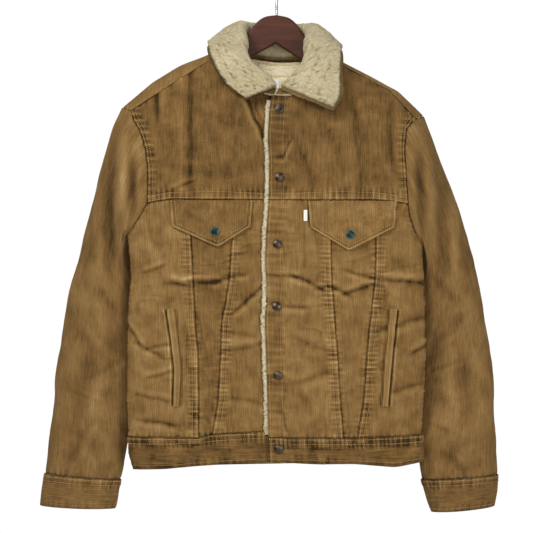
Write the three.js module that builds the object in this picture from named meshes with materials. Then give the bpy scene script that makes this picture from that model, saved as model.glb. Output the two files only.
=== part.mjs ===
// A corduroy jacket with a pile collar, buttoned and hung on a wooden hanger.
// Millimetres, +Z up, the front faces -Y, and the origin is the inside top of the hanger's hook.
// "Left" and "right" are those of someone who looks at the front.
import * as THREE from 'three';

// Cloth thicknesses and gaps
const clothThickness = 2.6;
const bandThickness = 4.2;
const cuffThickness = 4.0;
const flapThickness = 2.6;
const flapLift = 2.4;
const weltThickness = 2.4;
const pileThickness = 6.5;
const underCollarThickness = 2.4;
const layerGap = 0.6;
const restGap = 0.45;
const seamGap = 0.25;

// Body section: how square the sides are, and how round the shoulder's top is
const sideSquareness = 2.5;
const shoulderRadius = 45;
const overlapLift = 8;
const overlapFlat = 25;
const overlapEnd = 70;
const underFrontEdge = 20;
const armSeamGap = 0.8;
const underarmGap = 4;
const armholeClearance = 2.5;
const sleeveClearance = 3.5;

// Hanger and hook
const hangerThickness = 14;
const hangerTilt = THREE.MathUtils.degToRad(2.2);
const hangerApexZ = -78;
const hookWire = 4;
const hookRadius = 22;

// Buttons and labels
const buttonRadius = 7.2;
const buttonHeight = 3.4;
const buttonSides = 12;

// Rows under named columns, read between rows by straight interpolation on the first column.
function table(names, rows) {
  const [, ...columns] = names.split(' ');
  const rising = rows[1][0] > rows[0][0] ? 1 : -1;
  const read = {};
  columns.forEach((name, index) => {
    read[name] = (at) => {
      let row = 0;
      while (row < rows.length - 2 && (at - rows[row + 1][0]) * rising > 0) row += 1;
      const [before, after] = [rows[row], rows[row + 1]];
      const share = THREE.MathUtils.clamp((at - before[0]) / (after[0] - before[0]), 0, 1);
      return THREE.MathUtils.lerp(before[index + 1], after[index + 1], share);
    };
  });
  return read;
}

// Shoulder line's height, the front panels' top edge (shoulder seam, then neckline) and the chest seam
const shoulderLine = table('x z', [
  [-251, -229], [-201, -188], [-155, -160], [-112, -143], [-81, -131], [79, -141], [112, -156], [201, -203], [241, -243],
]);
const frontTop = table('x z', [
  [-235, -235.5], [-171, -196.5], [-108, -157.5], [-81, -146], [-76, -164], [-62, -188], [-40, -204], [-12, -214],
  [20, -216], [45, -207], [65, -193], [75, -176], [79, -153], [110, -165.5], [184, -203], [227, -249],
]);
const chestSeam = {
  left: table('x z', [[-207, -386], [-172, -380.5], [20, -381.5]]).z,
  right: table('x z', [[-20, -381.5], [162, -381.5], [186, -383.5], [213, -387.5]]).z,
};
const bandSeam = {
  left: table('x z', [[-239, -764], [-124.5, -764], [-103, -758], [20, -752.5]]).z,
  right: table('x z', [[-13, -762.5], [108.5, -765], [131, -765], [237, -761]]).z,
  back: table('x z', [[-239, -764], [0, -767], [237, -761]]).z,
};
const hemLine = {
  left: table('x z', [[-231, -817], [-177, -815], [-130, -810], [-65, -805.5], [20, -802]]).z,
  right: table('x z', [[-13, -802], [16, -802.5], [66, -807], [125, -806.5], [193, -812.5], [240, -804]]).z,
  back: table('x z', [[-231, -817], [-110, -817], [0, -815], [120, -813], [240, -804]]).z,
};
const backYokeSeam = table('x z', [[-207, -334], [209.5, -347]]).z;

// Outline of the body from the front, the armhole seams, and the section's depth
const bodyEdge = table('z left right', [
  [-229, -251, 241], [-300, -248, 240], [-441, -241.5, 236.5], [-452, -240.5, 236.5], [-509, -235.5, 241],
  [-536, -238.5, 242.5], [-577, -243, 241.5], [-629, -241.5, 243], [-703, -241.5, 240], [-764, -238.5, 237],
  [-790, -238.5, 239.5], [-817, -231, 240],
]);
const armhole = table('z left right', [
  [-229, -251, 241], [-235.5, -235, 241], [-243, -233.5, 241], [-249.5, -232, 226], [-267, -221, 211],
  [-298, -211, 208], [-330, -207, 209.5], [-386, -207, 213], [-408, -220, 216], [-428, -233, 223],
  [-441, -241.5, 229], [-452, -241, 236.5],
]);
const bodyDepth = table('z side front back', [
  [-130, 0, -59, 48], [-229, 0, -60, 50], [-340, -14, -61.5, 51], [-441, -25, -62, 50], [-600, -27, -62, 46],
  [-764, -26, -57, 42], [-817, -26, -54, 40],
]);

// Vertical seams: the two slanting ones on each front, the front edge that shows, and those of the back
const frontStyle = table('z outerLeft innerLeft innerRight outerRight', [
  [-379, -139, -69, 87, 162], [-445, -137, -71, 88, 160.5], [-509, -133, -74.5, 89.5, 159],
  [-577, -130.5, -87, 94.5, 151], [-629, -125, -89, 99, 146], [-704, -124.5, -93, 103.5, 141],
  [-764, -124.5, -103, 108.5, 131],
]);
const frontEdge = table('z over', [
  [-216, -8], [-242, -11], [-280, -13.5], [-321, -11], [-381, -12], [-438, -16], [-486, -17.5], [-522, -15],
  [-577, -18], [-629, -16], [-690, -14], [-764, -12.5], [-806, -10],
]);
const backStyle = table('z left right', [[-334, -118, 122], [-764, -68, 72]]);

// Broad soft folds of the cloth: middle, half length along the fold, half width, slope and height
const frontFolds = [
  { x: -112, z: -513, length: 75, width: 22, slope: 0.12, height: 3.2 },
  { x: -118, z: -545, length: 85, width: 20, slope: 0.1, height: -2.4 },
  { x: -210, z: -600, length: 45, width: 26, slope: -0.45, height: -2.6 },
  { x: 105, z: -518, length: 60, width: 22, slope: -0.1, height: 3.0 },
  { x: 150, z: -508, length: 90, width: 24, slope: -0.15, height: -2.2 },
  { x: 75, z: -660, length: 45, width: 30, slope: 0.5, height: 1.8 },
  { x: -60, z: -690, length: 60, width: 30, slope: -0.4, height: 2.2 },
  { x: 190, z: -680, length: 55, width: 32, slope: 0.3, height: 2.4 },
];
const backFolds = [
  { x: -90, z: -470, length: 95, width: 34, slope: 0.22, height: 3.4 },
  { x: 110, z: -440, length: 90, width: 30, slope: -0.25, height: 3.0 },
  { x: 20, z: -560, length: 120, width: 30, slope: 0.08, height: -3.0 },
  { x: -150, z: -620, length: 70, width: 30, slope: -0.2, height: 2.8 },
  { x: 140, z: -650, length: 80, width: 32, slope: 0.15, height: -2.6 },
];

function foldHeight(folds, x, z) {
  let height = 0;
  for (const fold of folds) {
    const turn = Math.atan(fold.slope);
    const along = (x - fold.x) * Math.cos(turn) + (z - fold.z) * Math.sin(turn);
    const across = (z - fold.z) * Math.cos(turn) - (x - fold.x) * Math.sin(turn);
    height += fold.height * Math.exp(-((along / fold.length) ** 2) - (across / fold.width) ** 2);
  }
  return height;
}

// Depth of the body's outer face at a place seen from the front
function faceY(side, x, z) {
  const left = bodyEdge.left(z);
  const right = bodyEdge.right(z);
  const across = Math.min(1, Math.abs(x - (left + right) / 2) / ((right - left) / 2));
  const width = (1 - across ** sideSquareness) ** (1 / sideSquareness);
  const drop = THREE.MathUtils.clamp((shoulderLine.z(x) - z) / shoulderRadius, 0, 1);
  const rounding = Math.sqrt(1 - (1 - drop) ** 2);
  const outward = side === 'front' ? -1 : 1;
  const folds = side === 'front' ? frontFolds : backFolds;
  const sideY = bodyDepth.side(z);
  const reach = (bodyDepth[side](z) - sideY) * width * rounding;
  return sideY + reach + outward * (seamGap + foldHeight(folds, x, z) * width);
}

// A point of the body's outer face with its outward direction; lift moves it out along that direction
function bodyPoint(side, x, z, lift = 0, atSideSeam = false) {
  const step = 1;
  const y = faceY(side, x, z);
  const left = bodyEdge.left(z);
  const right = bodyEdge.right(z);
  const before = Math.max(x - step, left);
  const after = Math.min(x + step, right);
  const slopeX = (faceY(side, after, z) - faceY(side, before, z)) / (after - before);
  const slopeZ = (faceY(side, x, z + step) - faceY(side, x, z - step)) / (2 * step);
  const outward = side === 'front' ? 1 : -1;
  const out = new THREE.Vector3(slopeX * outward, -outward, slopeZ * outward);
  if (atSideSeam) out.set(Math.sign(x), 0, 0);
  out.normalize();
  return { at: new THREE.Vector3(x, y, z).addScaledVector(out, lift), out };
}

// The same face followed over the shoulder: reach is measured from the shoulder line, minus in front
function overShoulder(x, reach) {
  const quarter = (shoulderRadius * Math.PI) / 2;
  const far = Math.abs(reach);
  const angle = Math.min(far, quarter) / shoulderRadius;
  const drop = shoulderRadius * (1 - Math.cos(angle)) + Math.max(0, far - quarter);
  const z = shoulderLine.z(x) - drop;
  return new THREE.Vector3(x, faceY(reach < 0 ? 'front' : 'back', x, z) - seamGap * Math.sign(reach), z);
}

function reachAt(x, z) {
  const drop = shoulderLine.z(x) - z;
  const angle = Math.acos(THREE.MathUtils.clamp(1 - drop / shoulderRadius, 0, 1));
  return shoulderRadius * angle + Math.max(0, drop - shoulderRadius);
}

function shoulderPoint(x, reach, lift = 0) {
  const step = 1.5;
  const alongX = overShoulder(x + step, reach).sub(overShoulder(x - step, reach));
  const alongReach = overShoulder(x, reach + step).sub(overShoulder(x, reach - step));
  const out = alongX.cross(alongReach).normalize();
  return { at: overShoulder(x, reach).addScaledVector(out, lift), out };
}

// A closed wall: outer points in rows, each with its outward direction, and the same points moved in
function wall(rows, thickness, closed = false) {
  const count = rows[0].length;
  const layer = rows.length * count;
  const positions = [];
  for (const inset of [0, thickness]) {
    for (const row of rows) {
      for (const { at, out } of row) positions.push(...at.clone().addScaledVector(out, -inset).toArray());
    }
  }
  const middle = Math.floor(rows.length / 2) - 1;
  const [here, beside, above] = [rows[middle][0], rows[middle][1], rows[middle + 1][0]];
  const turn = beside.at.clone().sub(here.at).cross(above.at.clone().sub(here.at)).dot(here.out) > 0;
  const triangles = [];
  const quad = (a, b, c, d) => triangles.push(...(turn ? [a, b, c, a, c, d] : [a, c, b, a, d, c]));
  const cells = closed ? count : count - 1;
  for (let j = 0; j < rows.length - 1; j += 1) {
    for (let i = 0; i < cells; i += 1) {
      const next = (i + 1) % count;
      const [a, b, c, d] = [j * count + i, j * count + next, (j + 1) * count + next, (j + 1) * count + i];
      quad(a, b, c, d);
      quad(layer + a, layer + d, layer + c, layer + b);
    }
  }
  const rim = (path) => {
    for (let i = 0; i < path.length - 1; i += 1) {
      quad(path[i + 1], path[i], layer + path[i], layer + path[i + 1]);
    }
  };
  const last = (rows.length - 1) * count;
  const bottom = [...Array(cells + 1).keys()].map((i) => i % count);
  rim(bottom);
  rim(bottom.map((i) => last + i).reverse());
  if (!closed) {
    rim(rows.map((row, j) => j * count).reverse());
    rim(rows.map((row, j) => j * count + count - 1));
  }
  const geometry = new THREE.BufferGeometry();
  geometry.setAttribute('position', new THREE.Float32BufferAttribute(positions, 3));
  geometry.setIndex(triangles);
  return geometry;
}

const jacket = new THREE.Group();

function add(name, geometry, material) {
  const mesh = new THREE.Mesh(geometry, material);
  mesh.name = name;
  jacket.add(mesh);
  return mesh;
}

const finish = (color, roughness, metalness = 0) => new THREE.MeshStandardMaterial({ color, roughness, metalness });
const corduroy = finish(0x86673d, 0.95);
const sleeveCorduroy = finish(0x785c34, 0.95);
const pile = finish(0xd9cba8, 1);
const agedMetal = finish(0x4b3f35, 0.45, 0.8);
const blankLabel = finish(0xf2f0ea, 0.9);
const darkWood = finish(0x3b2018, 0.4);
const steelWire = finish(0xb9b4be, 0.3, 1);

const { lerp, smoothstep } = THREE.MathUtils;
const spread = (from, to, cells) => [...Array(cells + 1).keys()].map((i) => lerp(from, to, i / cells));

// How far the right front stands off the left one, which it laps over
const lapLift = (x) => overlapLift * (1 - smoothstep(x, overlapFlat, overlapEnd));

// A panel of the body from columns, each a function from 0 at the top to 1 at the bottom
function panel(side, columns, shares, options = {}) {
  const { lift = () => 0, thickness = clothThickness, topGap = seamGap, bottomGap = seamGap } = options;
  const rows = shares.map((share, j) => columns.map((column) => {
    const { x, z, atSideSeam = false } = column(share);
    const gap = (j === 0 ? -topGap : 0) + (j === shares.length - 1 ? bottomGap : 0);
    return bodyPoint(side, x, z + gap, lift(x, z), atSideSeam);
  }));
  return wall(rows, thickness);
}

// A column whose place is read from a seam, between two heights
const seamColumn = (seam, top, bottom, shift = 0) => (share) => {
  const z = lerp(top, bottom, share);
  return { x: seam(z) + shift, z };
};

// Both sides of the body: shoulder tip, pit, and the seams that meet the armhole
const sides = {
  left: {
    sign: -1, tipZ: -229, pitZ: -441, chestZ: -386, yokeZ: -334, bandZ: -764, hemZ: -817,
    outer: 'outerLeft', inner: 'innerLeft', lift: () => 0, knee: 0.515,
    bandXs: [-205, -165, -124.5, -103, -62, -20, 20],
    chestColumns: [
      { top: -190, bottom: -172 }, { top: -145, bottom: -139 }, { top: -108, bottom: -104 }, { top: -81, bottom: -88 },
      { top: -76, bottom: -69 }, { top: -62, bottom: -48 }, { top: -40, bottom: -32 }, { top: -12, bottom: -12 },
    ],
  },
  right: {
    sign: 1, tipZ: -243, pitZ: -452, chestZ: -387.5, yokeZ: -347, bandZ: -761, hemZ: -804,
    outer: 'outerRight', inner: 'innerRight', lift: lapLift, knee: 0.53,
    bandXs: [205, 165, 131, 108.5, 70, 40, 12, -12.5],
    chestColumns: [
      { top: 184, bottom: 186 }, { top: 147, bottom: 162 }, { top: 110, bottom: 125 }, { top: 79, bottom: 102 },
      { top: 75, bottom: 87 }, { top: 65, bottom: 66 }, { top: 45, bottom: 42 }, { top: 20, bottom: 15 },
    ],
  },
};

// Heights at which the armhole seam has its points, as shares of the way from shoulder tip to pit
function armholeLevels({ tipZ, pitZ, chestZ, yokeZ }) {
  const share = (z) => (tipZ - z) / (tipZ - pitZ);
  const chest = share(chestZ);
  return [0, 0.031, 0.1, 0.2, 0.33, share(yokeZ), chest, lerp(chest, 1, 0.5), lerp(chest, 1, 0.82), 1];
}
const chestLevelIndex = 6;
const yokeLevelIndex = 5;

function armholeZ(side, level) {
  return lerp(side.tipZ, side.pitZ, level);
}

const armColumn = (name, side, top, bottom, inward) => (share) => {
  const z = lerp(top, bottom, share);
  if (z > side.pitZ + 0.01) return { x: armhole[name](z) + inward, z };
  return { x: bodyEdge[name](z), z, atSideSeam: true };
};

// Fronts: the chest piece down to the chest seam, then side, slanted middle and centre pieces, and band
for (const [name, side] of Object.entries(sides)) {
  const levels = armholeLevels(side);
  const inward = -side.sign * seamGap;
  const { lift } = side;
  const [chest, band, hem] = [chestSeam[name], bandSeam[name], hemLine[name]];
  const front = (label) => `front_${label}_${name}`;
  const edge = name === 'left' ? () => underFrontEdge : frontEdge.over;

  const chestLevels = levels.slice(1, chestLevelIndex + 1);
  const topLevel = chestLevels[0];
  const chestShares = chestLevels.map((level) => (level - topLevel) / (levels[chestLevelIndex] - topLevel));
  const chestTopZ = armholeZ(side, topLevel);
  const straight = ({ top, bottom }) => (share) => ({
    x: lerp(top, bottom, share), z: lerp(frontTop.z(top), chest(bottom), share),
  });
  const edgeTop = name === 'left' ? frontTop.z(underFrontEdge) : frontTop.z(edge(-216));
  add(front('chest'), panel('front', [
    armColumn(name, side, chestTopZ, side.chestZ, inward),
    ...side.chestColumns.map(straight),
    seamColumn(edge, edgeTop, chest(edge(-381))),
  ], chestShares, { lift }), corduroy);

  const lowLevels = levels.slice(chestLevelIndex).map((level) => armholeZ(side, level));
  const lowHeights = [...lowLevels, ...spread(side.pitZ, side.bandZ, 8).slice(1)];
  const lowShares = lowHeights.map((z) => (side.chestZ - z) / (side.chestZ - side.bandZ));
  const outerSeam = frontStyle[side.outer];
  const innerSeam = frontStyle[side.inner];
  const low = (seam, shift) => seamColumn(seam, chest(seam(-380)), band(seam(-762)), shift);
  const between = (first, second, amount) => (share) => {
    const x = (at) => lerp(first(at).x, second(at).x, amount);
    return { x: x(share), z: lerp(chest(x(0)), band(x(1)), share) };
  };
  const away = side.sign * seamGap;
  const sideColumn = armColumn(name, side, side.chestZ, side.bandZ, inward);
  const outerColumn = low(outerSeam, away);
  add(front('side'), panel('front', [
    sideColumn, ...[0.08, 0.26, side.knee, 0.76].map((share) => between(sideColumn, outerColumn, share)), outerColumn,
  ], lowShares), corduroy);
  const slantColumns = [low(outerSeam, -away), low(innerSeam, away)];
  add(front('slant'), panel('front', [
    slantColumns[0], between(...slantColumns, 0.5), slantColumns[1],
  ], lowShares), corduroy);
  const centreColumns = [low(innerSeam, -away), low(edge, 0)];
  add(front('centre'), panel('front', [
    centreColumns[0], ...[0.28, 0.55, 0.8].map((share) => between(...centreColumns, share)), centreColumns[1],
  ], lowShares, { lift }), corduroy);

  const bandSide = (share) => {
    const z = lerp(side.bandZ, side.hemZ, share);
    return { x: bodyEdge[name](z), z, atSideSeam: true };
  };
  const bandColumns = side.bandXs.map((x) => (share) => ({ x, z: lerp(band(x), hem(x), share) }));
  add(`hem_band_front_${name}`, panel('front', [bandSide, ...bandColumns], [0, 0.5, 1], {
    lift: (x, z) => lift(x, z) + 0.5, thickness: bandThickness, bottomGap: 0,
  }), corduroy);
}

// Back: side and centre pieces below the yoke, and the band
{
  const backSeam = (name, shift) => {
    const x = backStyle[name];
    return seamColumn(x, backYokeSeam(x(-334)), bandSeam.back(x(-764)), shift);
  };
  const between = (first, second, amount) => (share) => {
    const x = (at) => lerp(first(at).x, second(at).x, amount);
    return { x: x(share), z: lerp(backYokeSeam(x(0)), bandSeam.back(x(1)), share) };
  };
  const rowsFor = (side) => {
    const levels = armholeLevels(side);
    const upper = levels.slice(yokeLevelIndex).map((level) => armholeZ(side, level));
    const heights = [...upper, ...spread(side.pitZ, side.bandZ, 8).slice(1)];
    return heights.map((z) => (side.yokeZ - z) / (side.yokeZ - side.bandZ));
  };
  for (const [name, side] of Object.entries(sides)) {
    const arm = armColumn(name, side, side.yokeZ, side.bandZ, -side.sign * seamGap);
    const inner = backSeam(name, side.sign * seamGap);
    add(`back_side_${name}`, panel('back', [
      arm, ...[0.07, 0.25, 0.5, 0.75].map((share) => between(arm, inner, share)), inner,
    ], rowsFor(side)), corduroy);
  }
  const centreShares = spread(0, 1, 11);
  const leftSeam = backSeam('left', seamGap);
  const rightSeam = backSeam('right', -seamGap);
  const middle = (share) => ({ x: 0, z: lerp(backYokeSeam(0), bandSeam.back(0), share) });
  add('back_centre', panel('back', [
    leftSeam, between(leftSeam, middle, 0.5), middle, between(middle, rightSeam, 0.5), rightSeam,
  ], centreShares), corduroy);

  const bandEnd = (name, side) => (share) => {
    const z = lerp(side.bandZ, side.hemZ, share);
    return { x: bodyEdge[name](z), z, atSideSeam: true };
  };
  const bandXs = spread(-205, 205, 12);
  const bandColumns = bandXs.map((x) => (share) => ({ x, z: lerp(bandSeam.back(x), hemLine.back(x), share) }));
  add('hem_band_back', panel('back', [bandEnd('left', sides.left), ...bandColumns, bandEnd('right', sides.right)],
    [0, 0.5, 1], { lift: () => 0.5, thickness: bandThickness, bottomGap: 0 }), corduroy);
}

// Back yoke: from the front shoulder seams over the shoulders, round the neck and down to the back seam
const yokeColumns = [
  { top: -190, bottom: -172 }, { top: -145, bottom: -140 }, { top: -108, bottom: -110 }, { top: -81, bottom: -88 },
  { top: -80, bottom: -82, start: -12 }, { top: -78, bottom: -76, start: 4 }, { top: -70, bottom: -68, start: 17 },
  { top: -50, bottom: -50, start: 29 }, { top: -25, bottom: -25, start: 34 }, { top: 0, bottom: 0, start: 36 },
  { top: 25, bottom: 25, start: 34 }, { top: 50, bottom: 50, start: 29 }, { top: 68, bottom: 68, start: 17 },
  { top: 76, bottom: 76, start: 4 }, { top: 78, bottom: 82, start: -12 }, { top: 79, bottom: 88 },
  { top: 110, bottom: 110 }, { top: 147, bottom: 140 }, { top: 184, bottom: 172 },
];
{
  const turnRows = 4;
  const endColumn = (name, side) => {
    const levels = armholeLevels(side);
    const z = armholeZ(side, levels[1]);
    const seamX = armhole[name](z);
    const tipX = bodyEdge[name](side.tipZ);
    const seamReach = reachAt(seamX, z);
    const inward = -side.sign * seamGap;
    const points = spread(-1, 1, turnRows).map((turn) => (
      shoulderPoint(lerp(tipX, seamX, Math.abs(turn)) + inward, turn * seamReach)
    ));
    for (const level of levels.slice(2, yokeLevelIndex + 1)) {
      const height = armholeZ(side, level);
      points.push(bodyPoint('back', armhole[name](height) + inward, height));
    }
    points[0] = bodyPoint('front', seamX + inward, z + seamGap);
    points[points.length - 1] = bodyPoint('back', armhole[name](side.yokeZ) + inward, side.yokeZ + seamGap);
    return points;
  };
  const lowShares = [0.12, 0.38, 0.68, 1];
  const innerColumn = ({ top, bottom, start }) => {
    const first = start ?? -reachAt(top, frontTop.z(top) + seamGap);
    const turned = start === undefined ? -first : Math.max(start, 0) + 14;
    const end = reachAt(bottom, backYokeSeam(bottom) + seamGap);
    const points = spread(first, turned, turnRows).map((reach) => shoulderPoint(top, reach));
    for (const share of lowShares) {
      points.push(shoulderPoint(lerp(top, bottom, share), lerp(turned, end, share)));
    }
    return points;
  };
  const columns = [
    endColumn('left', sides.left), ...yokeColumns.map(innerColumn), endColumn('right', sides.right),
  ];
  const rows = columns[0].map((_, j) => columns.map((column) => column[j]));
  add('back_yoke', wall(rows, clothThickness), corduroy);
}

// Sleeves: rings from the armhole seam to the cuff. Each ring has its outer and inner edge as seen from
// the front, its half depth and middle, and how much of the armhole's own shape it still follows.
const sleeveRings = {
  left: [
    { outX: -264, outZ: -255, inX: -244.5, inZ: -450, middle: -6, depth: 38, follow: 0.8 },
    { outX: -275.5, outZ: -292, inX: -246, inZ: -465, middle: 0, depth: 41, follow: 0.5 },
    { outX: -287.5, outZ: -332, inX: -243.5, inZ: -488, middle: 8, depth: 43, follow: 0.25 },
    { outX: -298.5, outZ: -376, inX: -238, inZ: -517, middle: 14, depth: 43, follow: 0.08 },
    { outX: -311.5, outZ: -426, inX: -235, inZ: -551, middle: 17, depth: 42, follow: 0 },
    { outX: -327, outZ: -486, inX: -234.5, inZ: -592, middle: 17, depth: 42, follow: 0 },
    { outX: -341, outZ: -543, inX: -234.5, inZ: -635, middle: 17, depth: 41, follow: 0 },
    { outX: -352.5, outZ: -608, inX: -234.5, inZ: -682, middle: 16, depth: 40, follow: 0 },
    { outX: -361, outZ: -669, inX: -235, inZ: -729, middle: 15, depth: 39, follow: 0 },
    { outX: -367.5, outZ: -734, inX: -241.5, inZ: -775, middle: 12, depth: 37, follow: 0 },
    { outX: -373.5, outZ: -789, inX: -249.5, inZ: -812, middle: 10, depth: 35, follow: 0 },
    { outX: -376, outZ: -826, inX: -256, inZ: -836, middle: 8, depth: 33, follow: 0 },
  ],
  right: [
    { outX: 253, outZ: -274, inX: 240, inZ: -461, middle: -6, depth: 38, follow: 0.8 },
    { outX: 266, outZ: -308, inX: 242, inZ: -477, middle: 0, depth: 41, follow: 0.5 },
    { outX: 281.5, outZ: -347, inX: 241, inZ: -499, middle: 8, depth: 43, follow: 0.25 },
    { outX: 298, outZ: -389, inX: 237, inZ: -527, middle: 14, depth: 43, follow: 0.08 },
    { outX: 312.5, outZ: -430, inX: 234.5, inZ: -559, middle: 17, depth: 42, follow: 0 },
    { outX: 328, outZ: -486, inX: 234, inZ: -598, middle: 17, depth: 42, follow: 0 },
    { outX: 338.5, outZ: -543, inX: 234, inZ: -640, middle: 17, depth: 41, follow: 0 },
    { outX: 348.5, outZ: -608, inX: 233.5, inZ: -685, middle: 16, depth: 40, follow: 0 },
    { outX: 358, outZ: -672, inX: 232, inZ: -731, middle: 15, depth: 39, follow: 0 },
    { outX: 359, outZ: -737, inX: 232, inZ: -776, middle: 12, depth: 37, follow: 0 },
    { outX: 360.5, outZ: -792, inX: 236, inZ: -813, middle: 10, depth: 35, follow: 0 },
    { outX: 361.5, outZ: -828, inX: 240, inZ: -836, middle: 8, depth: 33, follow: 0 },
  ],
};
const cuffRings = {
  left: [
    { outX: -379, outZ: -827, inX: -254, inZ: -837, middle: 8, depth: 35.5 },
    { outX: -384, outZ: -853, inX: -257.5, inZ: -861, middle: 7, depth: 36 },
    { outX: -386.5, outZ: -879, inX: -263, inZ: -884, middle: 6, depth: 35 },
  ],
  right: [
    { outX: 364, outZ: -829, inX: 238, inZ: -837, middle: 8, depth: 35.5 },
    { outX: 363, outZ: -855, inX: 245, inZ: -864, middle: 7, depth: 36 },
    { outX: 358, outZ: -880, inX: 255, inZ: -890, middle: 6, depth: 35 },
  ],
};

// Long folds down each sleeve, seen from the front: from top to bottom, width and depth
const sleeveFolds = {
  left: [
    { topX: -244, topZ: -240, endX: -246, endZ: -420, width: 13, depth: 6 },
    { topX: -268, topZ: -300, endX: -272, endZ: -500, width: 15, depth: 4 },
    { topX: -300, topZ: -620, endX: -336, endZ: -760, width: 16, depth: 4 },
    { topX: -262, topZ: -560, endX: -268, endZ: -700, width: 14, depth: 4 },
  ],
  right: [
    { topX: 232, topZ: -290, endX: 244, endZ: -410, width: 13, depth: 6 },
    { topX: 262, topZ: -330, endX: 276, endZ: -520, width: 15, depth: 4 },
    { topX: 292, topZ: -600, endX: 322, endZ: -740, width: 16, depth: 4 },
    { topX: 258, topZ: -580, endX: 262, endZ: -720, width: 14, depth: 4 },
  ],
};

function sleeveFoldDepth(folds, x, z) {
  let depth = 0;
  for (const fold of folds) {
    const along = (z - fold.topZ) / (fold.endZ - fold.topZ);
    const across = (x - lerp(fold.topX, fold.endX, along)) / fold.width;
    const fade = Math.exp(-((2 * along - 1) ** 4));
    depth += fold.depth * fade * Math.exp(-(across ** 2));
  }
  return depth;
}

// Angles round a ring that fall on the armhole seam's own heights, front half first
function ringAngles(side) {
  const front = armholeLevels(side).map((level) => Math.acos(1 - 2 * level));
  return [...front, ...front.slice(1, -1).reverse().map((angle) => 2 * Math.PI - angle)];
}

function ringPoint(ring, angle) {
  const inner = (1 - Math.cos(angle)) / 2;
  return new THREE.Vector3(
    lerp(ring.outX, ring.inX, inner), ring.middle - ring.depth * Math.sin(angle), lerp(ring.outZ, ring.inZ, inner),
  );
}

// Keeps a sleeve's point beyond the armhole seam, or below the pit beyond the body's own side
function clearOfBody(name, side, at) {
  const beside = (limit) => {
    if ((at.x - limit) * side.sign < 0) at.x = limit;
  };
  if (at.z > side.pitZ) {
    beside(armhole[name](at.z) + side.sign * armholeClearance);
    return;
  }
  const [left, right] = [bodyEdge.left(at.z), bodyEdge.right(at.z)];
  const sideY = bodyDepth.side(at.z);
  const faceDepth = bodyDepth[at.y < sideY ? 'front' : 'back'](at.z) - sideY;
  const share = Math.min(1, Math.abs((at.y - sideY) / faceDepth));
  const width = (1 - share ** sideSquareness) ** (1 / sideSquareness);
  beside((left + right) / 2 + side.sign * ((width * (right - left)) / 2 + sleeveClearance));
}

function sleeveGrid(name, side) {
  const angles = ringAngles(side);
  const half = angles.length / 2;
  const tip = { outX: bodyEdge[name](side.tipZ), outZ: side.tipZ };
  const seamRing = { ...tip, inX: bodyEdge[name](side.pitZ), inZ: side.pitZ, middle: -8, depth: 30 };
  const seam = angles.map((angle, i) => {
    const z = lerp(side.tipZ, side.pitZ, (1 - Math.cos(angle)) / 2);
    if (i === 0) return shoulderPoint(tip.outX, 0);
    if (i === half) return bodyPoint('front', seamRing.inX, z, 0, true);
    return bodyPoint(i < half ? 'front' : 'back', armhole[name](z), z);
  });
  const rows = [seam.map(({ at, out }, i) => {
    const nearPit = ((1 - Math.cos(angles[i])) / 2) ** 7;
    const aside = armSeamGap + underarmGap * nearPit;
    return { at: at.clone().setX(at.x + side.sign * aside), out: out.clone().setX(out.x * (1 - nearPit)).normalize() };
  })];
  rows[0][half].out.set(-side.sign, 0, 0);
  for (const ring of sleeveRings[name]) {
    rows.push(angles.map((angle, i) => {
      const at = ringPoint(ring, angle);
      const nearPit = ((1 - Math.cos(angle)) / 2) ** 4;
      at.addScaledVector(seam[i].at.clone().sub(ringPoint(seamRing, angle)), ring.follow * (1 - 0.6 * nearPit));
      const inwards = i < half ? 1 : -1;
      at.y += inwards * Math.abs(Math.sin(angle)) * sleeveFoldDepth(sleeveFolds[name], at.x, at.z);
      clearOfBody(name, side, at);
      return { at, out: null };
    }));
  }
  rows.forEach((row, j) => {
    const [above, below] = [rows[Math.max(0, j - 1)], rows[Math.min(rows.length - 1, j + 1)]];
    row.forEach((point, i) => {
      if (point.out) return;
      const around = row[(i + 1) % row.length].at.clone().sub(row[(i + row.length - 1) % row.length].at);
      point.out = around.cross(below[i].at.clone().sub(above[i].at)).multiplyScalar(side.sign).normalize();
    });
  });
  return rows;
}

// Part of a ring grid between two places round it, with its ends drawn in for the seams
function ringStrip(rows, from, to) {
  return rows.map((row) => {
    const strip = [];
    for (let i = from; i <= to; i += 1) {
      const { at, out } = row[(i + row.length) % row.length];
      strip.push({ at: at.clone(), out });
    }
    const drawIn = (end, next) => {
      const towards = strip[next].at.clone().sub(strip[end].at).normalize();
      strip[end].at.addScaledVector(towards, seamGap);
    };
    drawIn(0, 1);
    drawIn(strip.length - 1, strip.length - 2);
    return strip;
  });
}

for (const [name, side] of Object.entries(sides)) {
  const grid = sleeveGrid(name, side);
  const half = grid[0].length / 2;
  const elbow = -3;
  const underarm = half + 1;
  add(`sleeve_top_${name}`, wall(ringStrip(grid, elbow, underarm), clothThickness), sleeveCorduroy);
  const count = grid[0].length;
  add(`sleeve_under_${name}`, wall(ringStrip(grid, underarm, count + elbow), clothThickness), sleeveCorduroy);

  const angles = spread(0, 2 * Math.PI, 16).slice(0, -1);
  const cuff = cuffRings[name].map((ring) => angles.map((angle) => {
    const at = ringPoint(ring, angle);
    return { at, out: new THREE.Vector3(Math.cos(angle) * side.sign, -Math.sin(angle), 0) };
  }));
  add(`cuff_${name}`, wall(cuff, cuffThickness, true), sleeveCorduroy);
}

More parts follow.
